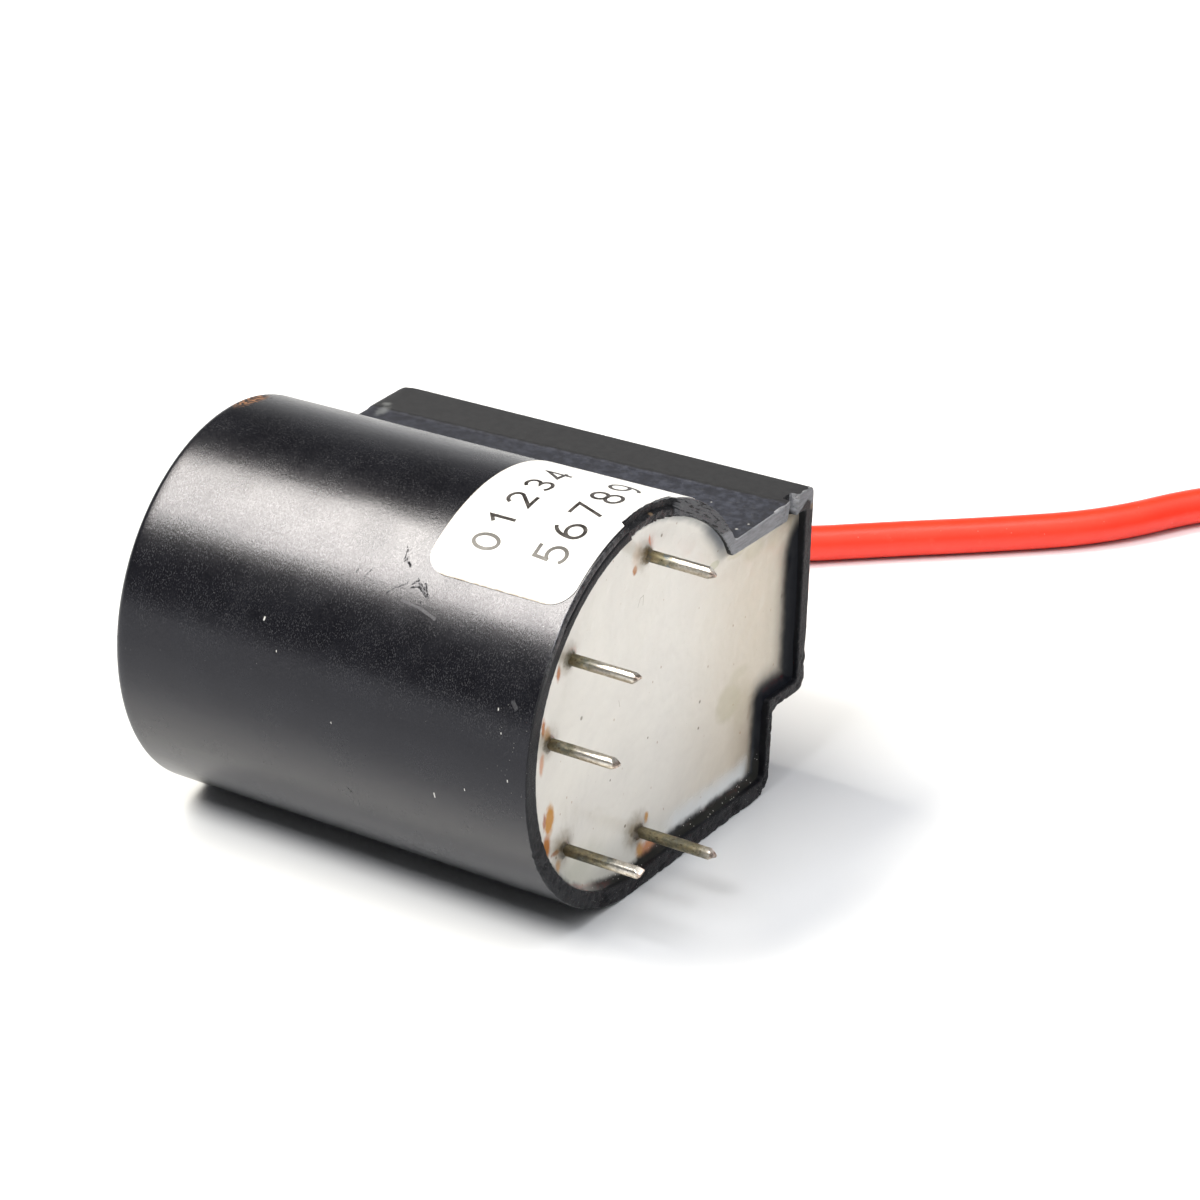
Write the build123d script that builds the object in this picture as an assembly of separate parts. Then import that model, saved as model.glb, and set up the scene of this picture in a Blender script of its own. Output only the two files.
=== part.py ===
from build123d import *
import os
from math import atan2, cos, degrees, pi, radians, sin, sqrt, tan

os.makedirs("parts", exist_ok=True)

# ---------------------------------------------------------------- dimensions, mm
# The barrel's axis is parallel to X. While the parts are being made, the open rim lies in
# the plane X = 0 and faces +X, the axis is at Y = 0, and the flat base is Z = 0. At the end
# everything is moved so that the origin is the centre of the underside of the whole unit.
LENGTH = 47.5  # case, rim to closed end
AXIS_Z = 20.0  # barrel's axis above the base
R_RIM = 20.0  # barrel's outer radius at the open rim
R_END = 19.0  # and at the closed end: the mould's draft
WALL = 1.75  # barrel wall
END_WALL = 2.0  # closed end
END_ROUND = 0.8  # rounding of the closed end's edge
FILL = 1.2  # resin surface below the rim

PIN_R = 0.6  # terminal pins, 1.2 mm wire
PIN_GRIP_R = 0.82  # upset band, from the terminal flange up to just above the resin
PIN_GRIP_END = -1.15
PIN_INNER = -8.0  # inner end of every pin
PINS = [  # Y, Z, tip X
    (1.65, 34.66, 6.40),
    (-11.42, 29.03, 6.43),
    (-14.60, 21.65, 6.42),
    (-11.37, 9.30, 7.55),
    (2.06, 5.42, 7.55),
]

FLANGE_FRONT = -1.8  # terminal flange, between these two planes
FLANGE_BACK = -3.2
CORE_R = 4.5
SPOOL_R = 5.5  # primary bobbin's tube
SPOOL_END = -43.2
SPOOL_FLANGE_R = 8.6
MID_FLANGE = (-11.0, -10.2)
PRIMARY_R = 7.7
FEEDBACK_R = 6.9
TAPE_R = 8.1

SEC_IN = 8.8  # secondary bobbin's tube, inner and outer radius
SEC_TUBE = 9.8
SEC_FLANGE_R = 15.4
SEC_X = (-42.7, -12.2)
SEC_FLANGE_T = 0.8
SEC_SLOTS = 7
SEC_WIRE_R = 13.4

RECTIFIER = (23.5, 25.0)  # Y, Z of the diode's axis, in the lobe
RECTIFIER_X = (-36.0, -20.0)
RECTIFIER_R = 2.2
DIODE_WIRE_R = 0.4

LEAD_D = 3.9  # high-voltage lead over its insulation
CONDUCTOR_R = 0.65
LEAD_X, LEAD_Z = -39.5, 18.0  # where the lead goes through the lobe's wall
COLLAR_Y = 33.9  # face of the moulded collar
COLLAR_R = 3.4

LABEL_X = (-16.3, -0.4)
LABEL_ANGLE = (60.0, 132.0)
LABEL_T = 0.12
LABEL_CORNER = 2.4

COIL_C = (38.6, 103.2)  # centre of the coil's first half turn
COIL_R = 20.5  # centreline radius of the outer turn
COIL_START = 95.0  # angle at which the lead joins the coil
END_BARE = 6.0  # stripped and tinned far end


def lerp(a, b, t):
    return a + (b - a) * t


# ---------------------------------------------------------------- case sections
# Y, Z of the straight part of the outline, from the foot of the barrel round the lobe,
# at the rim and at the closed end. The underside is drawn a little low and then cut off flat.
BASE_CUT = 0.04
OUT_RIM = [
    (0, -BASE_CUT), (24.4, -BASE_CUT), (25.6, 0.95), (25.85, 8.6), (26.6, 9.15), (31.2, 9.15),
    (32.0, 9.9), (31.95, 30.75), (31.5, 31.2), (27.0, 31.15), (26.7, 30.85),
]
OUT_END = [
    (0, -BASE_CUT), (23.4, -BASE_CUT), (24.4, 0.95), (24.6, 8.85), (25.3, 9.4), (29.9, 9.4),
    (30.6, 10.1), (30.5, 30.35), (30.05, 30.8), (23.9, 30.75), (23.6, 30.45),
]
IN_RIM = [(0, WALL), (24.75, WALL), (24.95, 10.4), (30.45, 10.4), (30.45, 29.6)]
IN_END = [(0, WALL), (23.5, WALL), (23.7, 10.6), (29.2, 10.6), (29.1, 29.2)]


# How each of those points moves, per millimetre, where the closed end's edge is rounded.
ROUNDING = [
    (0, 1), (-0.4, 1), (-1, 0.4), (-1, 0.6), (-0.6, 1), (-0.4, 1), (-1, 0.4), (-1, -0.4),
    (-0.4, -1), (0, -1), (0, -1),
]


def section(x, r_rim, r_end, v_rim, v_end, points_rim, points_end, inset=0.0):
    """The closed outline at one X: arc over the top, lower left quadrant, straight sides."""
    t = -x / LENGTH
    r = lerp(r_rim, r_end, t) - inset
    zv = lerp(v_rim, v_end, t) - inset
    pts = [
        (x, lerp(a[0], b[0], t) + inset * m[0], lerp(a[1], b[1], t) + inset * m[1])
        for a, b, m in zip(points_rim, points_end, ROUNDING)
    ]
    bottom = pts[0][2]
    yv = sqrt(r * r - (zv - AXIS_Z) ** 2)
    av = atan2(zv - AXIS_Z, yv)
    mid = (av + pi) / 2
    v = (x, yv, zv)
    left = (x, -r, AXIS_Z)
    top = (x, r * cos(mid), AXIS_Z + r * sin(mid))
    k = 0.5522847
    h = AXIS_Z - bottom
    edges = [
        Edge.make_three_point_arc(v, top, left),
        Edge.make_bezier(
            left, (x, -r, AXIS_Z - k * h), (x, -k * r, bottom), (x, 0, bottom)
        ),
    ]
    path = pts + [v]
    edges += [Edge.make_line(path[i], path[i + 1]) for i in range(len(path) - 1)]
    return Wire(edges)


def shell(x0, x1, args):
    return Solid.make_loft([section(x0, *args), section(x1, *args)], True)


OUTER = (R_RIM, R_END, 30.85, 30.45, OUT_RIM, OUT_END)
INNER = (R_RIM - WALL, R_END - 1.7, 29.5, 29.1, IN_RIM, IN_END)
PROUD = (R_RIM + LABEL_T, R_END + LABEL_T, 30.85, 30.45, OUT_RIM, OUT_END)


def cyl_x(x0, x1, r, y=0.0, z=AXIS_Z):
    return Pos((x0 + x1) / 2, y, z) * Rot(0, 90, 0) * Cylinder(r, abs(x1 - x0))


def cyl_y(y0, y1, r, x, z):
    return Pos(x, (y0 + y1) / 2, z) * Rot(90, 0, 0) * Cylinder(r, abs(y1 - y0))


def rod(a, b, r):
    """A straight round bar between two points."""
    a, b = Vector(*a), Vector(*b)
    return Plane(origin=a, z_dir=b - a) * Cylinder(
        r, (b - a).length, align=(Align.CENTER, Align.CENTER, Align.MIN)
    )


def bent(points, radii, r):
    path = FilletPolyline(*points, radius=radii)
    return sweep(Plane(origin=path @ 0, z_dir=path % 0) * Circle(r), path=path)


def polar(x, r, angle):
    return (x, r * cos(angle), AXIS_Z + r * sin(angle))


# ---------------------------------------------------------------- case
end_steps = [radians(a) for a in (0, 30, 60, 90)]
outer = Solid.make_loft(
    [section(0, *OUTER)]
    + [
        section(-LENGTH + END_ROUND * (1 - sin(a)), *OUTER, inset=END_ROUND * (1 - cos(a)))
        for a in end_steps
    ],
    True,
)
cavity = shell(1.0, -(LENGTH - END_WALL), INNER)
collar = cyl_y(29.6, COLLAR_Y, COLLAR_R, LEAD_X, LEAD_Z)
collar = chamfer(collar.faces().sort_by(Axis.Y)[-1].edges(), 0.4)
case = Part() + outer + collar - cavity - cyl_y(25, 36, LEAD_D / 2, LEAD_X, LEAD_Z)

# The rim is broken away along one stretch of the barrel's top, and has a gap in the lobe's top.
wedge_pts = [(0, 0)] + [
    (24 * cos(radians(a)), 24 * sin(radians(a))) for a in (74, 87, 100)
]


def wedge(x0, x1):
    w = Plane(origin=(x0, 0, AXIS_Z), x_dir=(0, 1, 0), z_dir=(1, 0, 0)) * make_face(
        Polyline(*wedge_pts, close=True)
    )
    return extrude(w, x1 - x0)


case -= Pos(-20, 5, -5) * Box(80, 80, 10)
case -= wedge(-0.8, 1.0)
case -= Pos(0, 28.05, 30.6) * Box(2.2, 2.1, 3.4)
case = case.solids().sort_by(SortBy.VOLUME)[-1]

# ---------------------------------------------------------------- pins
pins = []
for y, z, tip in PINS:
    body = cyl_x(PIN_INNER, tip, PIN_R, y, z)
    body = chamfer(body.faces().sort_by(Axis.X)[-1].edges(), 0.22)
    body += cyl_x(FLANGE_BACK, PIN_GRIP_END, PIN_GRIP_R, y, z)
    pins.append(body.solids()[0])

# ---------------------------------------------------------------- core and primary bobbin
ferrite_core = cyl_x(SPOOL_END, FLANGE_BACK, CORE_R)
primary_bobbin = cyl_x(SPOOL_END, FLANGE_BACK, SPOOL_R) - cyl_x(
    SPOOL_END - 1, FLANGE_BACK, CORE_R
)
primary_bobbin += cyl_x(FLANGE_BACK, FLANGE_FRONT, 16.9)
primary_bobbin += cyl_x(*MID_FLANGE, SPOOL_FLANGE_R) - cyl_x(-12, -9, SPOOL_R - 0.3)
primary_bobbin += cyl_x(SPOOL_END, SPOOL_END + 1.0, SPOOL_FLANGE_R) - cyl_x(
    SPOOL_END - 1, SPOOL_END + 2, SPOOL_R - 0.3
)
for y, z, tip in PINS:
    primary_bobbin -= cyl_x(FLANGE_BACK - 1, FLANGE_FRONT + 1, PIN_GRIP_R, y, z)
polar_pins = [
    (sqrt(y * y + (z - AXIS_Z) ** 2), atan2(z - AXIS_Z, y)) for y, z, _ in PINS
]
for r, a in polar_pins[:2]:  # notches that the primary's ends pass through
    primary_bobbin -= (
        Pos(0, 0, AXIS_Z)
        * Rot(degrees(a), 0, 0)
        * Pos((MID_FLANGE[0] + MID_FLANGE[1]) / 2, 7.9, 0)
        * Box(1.2, 2.2, 1.2)
    )

# ---------------------------------------------------------------- windings on the primary
WIRE_R = 0.25
primary_winding = cyl_x(SPOOL_END + 1.0, MID_FLANGE[0], PRIMARY_R) - cyl_x(
    -45, -5, SPOOL_R
)
for r, a in polar_pins[:2]:
    primary_winding += bent(
        [polar(-12.0, 7.4, a), polar(-7.0, 7.4, a), polar(-7.0, r - PIN_R, a)],
        [0.8],
        WIRE_R,
    )
feedback_winding = cyl_x(MID_FLANGE[1], -6.2, FEEDBACK_R) - cyl_x(-12, -5, SPOOL_R)
for r, a in polar_pins[2:4]:
    feedback_winding += rod(polar(-7.4, 6.5, a), polar(-7.4, r - PIN_R, a), WIRE_R)
primary_tape = cyl_x(SPOOL_END + 1.2, MID_FLANGE[0] - 0.2, TAPE_R) - cyl_x(
    -45, -5, PRIMARY_R
)

# ---------------------------------------------------------------- secondary
pitch = (SEC_X[1] - SEC_X[0] - SEC_FLANGE_T) / SEC_SLOTS
slot = pitch - SEC_FLANGE_T
secondary_bobbin = cyl_x(*SEC_X, SEC_TUBE)
for i in range(SEC_SLOTS + 1):
    x = SEC_X[0] + i * pitch
    secondary_bobbin += cyl_x(x, x + SEC_FLANGE_T, SEC_FLANGE_R)
secondary_bobbin -= cyl_x(SEC_X[0] - 1, SEC_X[1] + 1, SEC_IN)
cross = radians(-60)  # the side on which the wire crosses from slot to slot
for i in range(1, SEC_SLOTS):
    x = SEC_X[0] + i * pitch + SEC_FLANGE_T / 2
    secondary_bobbin -= (
        Pos(0, 0, AXIS_Z) * Rot(degrees(cross), 0, 0) * Pos(x, 13.4, 0)
        * Box(SEC_FLANGE_T + 0.4, 5.4, 1.4)
    )
cold_r, cold_a = polar_pins[4]
secondary_bobbin -= (
    Pos(0, 0, AXIS_Z) * Rot(degrees(cold_a), 0, 0)
    * Pos(SEC_X[1] - SEC_FLANGE_T / 2, 15.0, 0) * Box(SEC_FLANGE_T + 0.4, 2.6, 1.4)
)
secondary_winding = Part()
for i in range(SEC_SLOTS):
    x = SEC_X[0] + SEC_FLANGE_T + i * pitch
    secondary_winding += cyl_x(x, x + slot, SEC_WIRE_R) - cyl_x(x - 1, x + slot + 1, SEC_TUBE)
for i in range(1, SEC_SLOTS):
    x = SEC_X[0] + i * pitch + SEC_FLANGE_T / 2
    secondary_winding += (
        Pos(0, 0, AXIS_Z) * Rot(degrees(cross), 0, 0) * Pos(x, 12.2, 0)
        * Box(SEC_FLANGE_T + 0.4, 1.2, 0.6)
    )
hot_x = SEC_X[0] + SEC_FLANGE_T + slot / 2
cold_x = SEC_X[1] - SEC_FLANGE_T - slot / 2
hot_a = atan2(RECTIFIER[1] - AXIS_Z, RECTIFIER[0])
secondary_winding += rod(polar(hot_x, 13.0, hot_a), polar(hot_x, 17.0, hot_a), DIODE_WIRE_R)
secondary_winding += bent(
    [polar(cold_x, 12.6, cold_a), polar(cold_x, cold_r, cold_a), polar(PIN_INNER, cold_r, cold_a)],
    [0.8],
    WIRE_R,
)

# ---------------------------------------------------------------- rectifier and its leads
ry, rz = RECTIFIER
rectifier_body = cyl_x(*RECTIFIER_X, RECTIFIER_R, ry, rz)
rectifier_body = fillet(rectifier_body.edges().filter_by(GeomType.CIRCLE), 0.5)
rectifier_anode_lead = bent(
    [(RECTIFIER_X[0], ry, rz), (hot_x, ry, rz), polar(hot_x, 17.0, hot_a)],
    [1.5],
    DIODE_WIRE_R,
)
CORE_END_X = -16.5
INNER_Y = 26.0
rectifier_cathode_lead = bent(
    [
        (RECTIFIER_X[1], ry, rz),
        (-14.2, ry, rz),
        (-14.2, INNER_Y, LEAD_Z),
        (CORE_END_X, INNER_Y, LEAD_Z),
    ],
    [1.0, 1.0],
    DIODE_WIRE_R,
)
hv_lead_conductor = bent(
    [(LEAD_X, COLLAR_Y, LEAD_Z), (LEAD_X, INNER_Y, LEAD_Z), (CORE_END_X, INNER_Y, LEAD_Z)],
    [1.6],
    CONDUCTOR_R,
)
hv_lead_inner = cyl_y(27.8, COLLAR_Y, LEAD_D / 2, LEAD_X, LEAD_Z) - cyl_y(
    27, 35, CONDUCTOR_R, LEAD_X, LEAD_Z
)

# ---------------------------------------------------------------- solder joints
joints = []
for (y, z, tip), wound in zip(PINS[:4], [primary_winding] * 2 + [feedback_winding] * 2):
    joints.append(cyl_x(-8.4, -6.3, 1.05, y, z) - wound)
joints.append(cyl_x(-9.2, -6.6, 1.0, PINS[4][0], PINS[4][1]) - secondary_winding)
joints = [j - p for j, p in zip(joints, pins)]
joints.append(
    rod(polar(hot_x, 16.0, hot_a), polar(hot_x, 18.0, hot_a), 0.95)
    - secondary_winding
    - rectifier_anode_lead
)
joints.append(
    cyl_x(-17.6, -15.6, 1.15, INNER_Y, LEAD_Z) - hv_lead_conductor - rectifier_cathode_lead
)
solder_joints = Compound([j.solids().sort_by(SortBy.VOLUME)[-1] for j in joints])

# ---------------------------------------------------------------- resin
inside = [
    *pins, ferrite_core, primary_bobbin, primary_winding, feedback_winding, primary_tape,
    secondary_bobbin, secondary_winding, rectifier_body, rectifier_anode_lead,
    rectifier_cathode_lead, hv_lead_conductor, hv_lead_inner, *solder_joints.solids(),
]
potting = Part() + cavity - Pos(5 - FILL, 10, 20) * Box(10, 80, 60)
for piece in inside:
    potting -= piece
potting = potting.solids().sort_by(SortBy.VOLUME)[-1]

# ---------------------------------------------------------------- label
mid_angle = radians(sum(LABEL_ANGLE) / 2)
half = radians((LABEL_ANGLE[1] - LABEL_ANGLE[0]) / 2)
label_plane = Plane(
    origin=(sum(LABEL_X) / 2, 0, AXIS_Z),
    x_dir=(1, 0, 0),
    z_dir=(0, cos(mid_angle), sin(mid_angle)),
)
blank = extrude(
    label_plane.offset(8)
    * RectangleRounded(LABEL_X[1] - LABEL_X[0], 2 * 19.85 * sin(half), LABEL_CORNER),
    16,
)
label = (Part() + shell(0, -LENGTH, PROUD) - shell(0, -LENGTH, OUTER)) & blank
label -= wedge(-0.95, 1.0)
label = label.solids().sort_by(SortBy.VOLUME)[-1]

# ---------------------------------------------------------------- free lead
lz = LEAD_D / 2
heading = radians(COIL_START - 90)
meet = (
    COIL_C[0] + COIL_R * cos(radians(COIL_START)),
    COIL_C[1] + COIL_R * sin(radians(COIL_START)),
)
ROUTE = [
    (LEAD_X, COLLAR_Y, LEAD_Z), (-39.5, 42.4, 18.0), (-39.0, 51.0, 15.0), (-37.0, 59.4, 8.9),
    (-32.6, 67.7, 3.9), (-26.0, 74.8, lz), (-18.2, 82.3, lz), (-9.2, 90.4, lz),
    (0.2, 99.8, lz), (6.4, 112.6, lz), (14.2, 119.6, lz),
    (meet[0] - 11.3 * cos(heading), meet[1] - 11.3 * sin(heading), lz), (*meet, lz),
]
runs = [Vector(*ROUTE[i + 1]) - Vector(*ROUTE[i]) for i in range(len(ROUTE) - 1)]
radii = []
for a, b in zip(runs, runs[1:]):
    turn = a.get_angle(b)
    radii.append(0.45 * min(a.length, b.length) / tan(radians(turn) / 2))
    print(f"turn {turn:5.1f}  radius {radii[-1]:6.1f}  = {radii[-1] / LEAD_D:4.1f} d")
lead_path = FilletPolyline(*ROUTE, radius=radii)
hv_lead = sweep(Plane(origin=lead_path @ 0, z_dir=lead_path % 0) * Circle(LEAD_D / 2), path=lead_path)
print(
    f"lead: runs {[round(r.length, 1) for r in runs]}, path {lead_path.length:.1f} mm, "
    f"volume {hv_lead.volume:.1f}, section x length {pi * LEAD_D**2 / 4 * lead_path.length:.1f}"
)

# The coil: one and a half turns side by side on the floor, each half turn a half diameter
# smaller than the one before it, about one of two centres.
a0 = radians(COIL_START)
u = Vector(cos(a0), sin(a0), 0)
c1 = Vector(*COIL_C, 0)
c2 = c1 - u * (LEAD_D / 2)


def arc(centre, r, start, sweep_deg):
    p = [
        centre + Vector(cos(radians(s)), sin(radians(s)), 0) * r
        for s in (start, start + sweep_deg / 2, start + sweep_deg)
    ]
    return Edge.make_three_point_arc(*p)


def spiral(r1, r2, step_at_start):
    """A closed line of two half circles and one radial step."""
    a = arc(c1, r1, COIL_START, -180)
    b = arc(c2, r2, COIL_START - 180, -180)
    ends = (b @ 1, a @ 0) if step_at_start else (a @ 1, b @ 0)
    step = Edge.make_line(*ends)
    return Wire([a, b, step] if step_at_start else [a, step, b])


rho = COIL_R + LEAD_D / 2
outline = Face(spiral(rho, rho - LEAD_D / 2, True))
hole = Face(spiral(rho - 2 * LEAD_D, rho - 1.5 * LEAD_D, False))
hv_lead_coil = (extrude(outline, LEAD_D, dir=(0, 0, 1)) - extrude(hole, LEAD_D, dir=(0, 0, 1))).solids()[0]
coil_length = pi * (COIL_R + COIL_R - LEAD_D / 2 + COIL_R - LEAD_D)
tip_r = COIL_R - LEAD_D
tip_path = Pos(0, 0, lz) * arc(c1, tip_r, COIL_START - 180, -degrees(END_BARE / tip_r))
hv_lead_end = sweep(Plane(origin=tip_path @ 0, z_dir=tip_path % 0) * Circle(CONDUCTOR_R), path=tip_path)
print(f"coil {coil_length:.1f} mm, whole lead {lead_path.length + coil_length:.1f} mm")

# ---------------------------------------------------------------- write
x_mid = (max(tip for _, _, tip in PINS) - LENGTH) / 2
y_mid = (COLLAR_Y - R_RIM) / 2
print(f"moved by {-x_mid:.3f}, {-y_mid:.3f}, 0")
nodes = {
    "case": case,
    "potting_compound": potting,
    "ferrite_core": ferrite_core,
    "primary_bobbin": primary_bobbin,
    "primary_winding": primary_winding,
    "feedback_winding": feedback_winding,
    "primary_tape": primary_tape,
    "secondary_bobbin": secondary_bobbin,
    "secondary_winding": secondary_winding,
    "rectifier_body": rectifier_body,
    "rectifier_anode_lead": rectifier_anode_lead,
    "rectifier_cathode_lead": rectifier_cathode_lead,
    "hv_lead_conductor": hv_lead_conductor,
    "hv_lead_inner": hv_lead_inner,
    "solder_joints": solder_joints,
    "label": label,
    "hv_lead": hv_lead,
    "hv_lead_coil": hv_lead_coil,
    "hv_lead_end": hv_lead_end,
}
for i, pin in enumerate(pins):
    nodes[f"terminal_pin_{i + 1}"] = pin
for name, shape in nodes.items():
    solids = [s.moved(Location((-x_mid, -y_mid, 0))) for s in shape.solids()]
    export_step(solids[0] if len(solids) == 1 else Compound(solids), f"parts/{name}.step")
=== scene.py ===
from math import atan2, ceil, cos, degrees, exp, hypot, pi, radians, sin, sqrt, tan

import bmesh
import bpy
import numpy as np
from mathutils import Matrix, Vector
from mathutils.geometry import delaunay_2d_cdt

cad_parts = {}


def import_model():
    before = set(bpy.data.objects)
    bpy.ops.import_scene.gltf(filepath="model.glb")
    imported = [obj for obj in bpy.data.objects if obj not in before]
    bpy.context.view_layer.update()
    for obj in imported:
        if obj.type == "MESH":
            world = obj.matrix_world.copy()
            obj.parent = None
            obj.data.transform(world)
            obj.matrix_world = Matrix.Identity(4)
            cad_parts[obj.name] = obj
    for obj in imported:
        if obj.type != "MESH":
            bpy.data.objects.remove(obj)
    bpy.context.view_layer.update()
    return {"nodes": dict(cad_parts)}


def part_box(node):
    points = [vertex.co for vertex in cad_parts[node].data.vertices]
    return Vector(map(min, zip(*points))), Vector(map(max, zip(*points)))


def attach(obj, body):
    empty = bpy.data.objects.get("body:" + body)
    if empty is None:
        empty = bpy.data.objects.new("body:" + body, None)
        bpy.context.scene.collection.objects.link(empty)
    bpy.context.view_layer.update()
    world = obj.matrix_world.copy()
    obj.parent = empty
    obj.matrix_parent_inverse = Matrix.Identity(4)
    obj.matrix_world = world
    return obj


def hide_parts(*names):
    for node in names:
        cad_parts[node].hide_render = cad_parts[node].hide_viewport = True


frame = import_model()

# The sections below are worked out in millimetres from the rim: X = 0 is the rim plane and
# +X leaves the open end, Y = 0 is the barrel's axis and Z = 0 the underside.
MM = 0.001
case_lo, case_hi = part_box("case")
ORIGIN = np.array([case_hi.x, case_lo.y + 20.0 * MM, 0.0])
AXIS_Z = 20.0
LENGTH = 47.5
SURFACE_X = -1.2  # resin surface
LEAD_D = 3.9


def world(points):
    return np.asarray(points, float) * MM + ORIGIN


def lerp(a, b, t):
    return a + (b - a) * t


def smooth(a, b, x):
    t = np.clip((np.asarray(x, float) - a) / (b - a), 0, 1)
    return t * t * (3 - 2 * t)


def vnoise(p, seed=0):
    """Smooth value noise from -1 to 1 on a unit lattice."""
    p = np.asarray(p, float)
    i = np.floor(p).astype(np.int64)
    f = p - i
    f = f * f * (3 - 2 * f)

    def corner(dx, dy, dz):
        n = (
            (i[..., 0] + dx) * 374761393
            + (i[..., 1] + dy) * 668265263
            + (i[..., 2] + dz) * 1440670441
            + seed * 1274126177
        ) & 0xFFFFFFFF
        n = ((n ^ (n >> 13)) * 1274126177) & 0xFFFFFFFF
        n = n ^ (n >> 16)
        return (n & 0xFFFF) / 32767.5 - 1

    out = 0
    for dx in (0, 1):
        wx = f[..., 0] if dx else 1 - f[..., 0]
        for dy in (0, 1):
            wy = f[..., 1] if dy else 1 - f[..., 1]
            for dz in (0, 1):
                wz = f[..., 2] if dz else 1 - f[..., 2]
                out = out + corner(dx, dy, dz) * wx * wy * wz
    return out


def fbm(p, seed=0, octaves=3):
    total, amp, q = 0, 1.0, np.asarray(p, float)
    for o in range(octaves):
        total = total + amp * vnoise(q, seed + o)
        amp, q = amp * 0.5, q * 2.03
    return total


# ------------------------------------------------------------------ camera
camera = bpy.data.cameras.new("camera")
camera.lens, camera.sensor_width, camera.clip_start, camera.clip_end = 149.3, 36.0, 0.01, 100.0
camera_object = bpy.data.objects.new("camera", camera)
bpy.context.scene.collection.objects.link(camera_object)
right, up = Vector((0.84888, 0.52760, 0.03222)), Vector((-0.24864, 0.34478, 0.90515))
back = Vector((0.46645, -0.77638, 0.42386))
pose = Matrix((right, up, back)).transposed().to_4x4()
pose.translation = Vector((0.232535, -0.36893, 0.22719))
camera_object.matrix_world = pose
bpy.context.scene.camera = camera_object

scene = bpy.context.scene
scene.view_settings.view_transform = "Standard"
scene.view_settings.look = "None"


# ------------------------------------------------------------------ mesh helpers
def new_object(name, mesh, slot, materials, sharp=40.0):
    obj = bpy.data.objects.new(name, mesh)
    scene.collection.objects.link(obj)
    for m in materials:
        mesh.materials.append(m)
    mesh.shade_smooth()
    if sharp:
        mesh.set_sharp_from_angle(angle=radians(sharp))
    if slot:
        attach(obj, "root")
    return obj


def closed_mesh(name, verts, faces, index=None):
    """A mesh whose faces all point outwards."""
    mesh = bpy.data.meshes.new(name)
    mesh.from_pydata([tuple(v) for v in verts], [], [tuple(f) for f in faces])
    if index is not None:
        mesh.polygons.foreach_set("material_index", index)
    bm = bmesh.new()
    bm.from_mesh(mesh)
    bmesh.ops.recalc_face_normals(bm, faces=bm.faces)
    bm.to_mesh(mesh)
    bm.free()
    mesh.update()
    return mesh


def tube_faces(rows, n, start=0):
    """Quads between closed rings of n points each."""
    faces = []
    for k in range(rows - 1):
        a, b = start + k * n, start + (k + 1) * n
        faces += [(a + i, a + (i + 1) % n, b + (i + 1) % n, b + i) for i in range(n)]
    return faces


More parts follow.
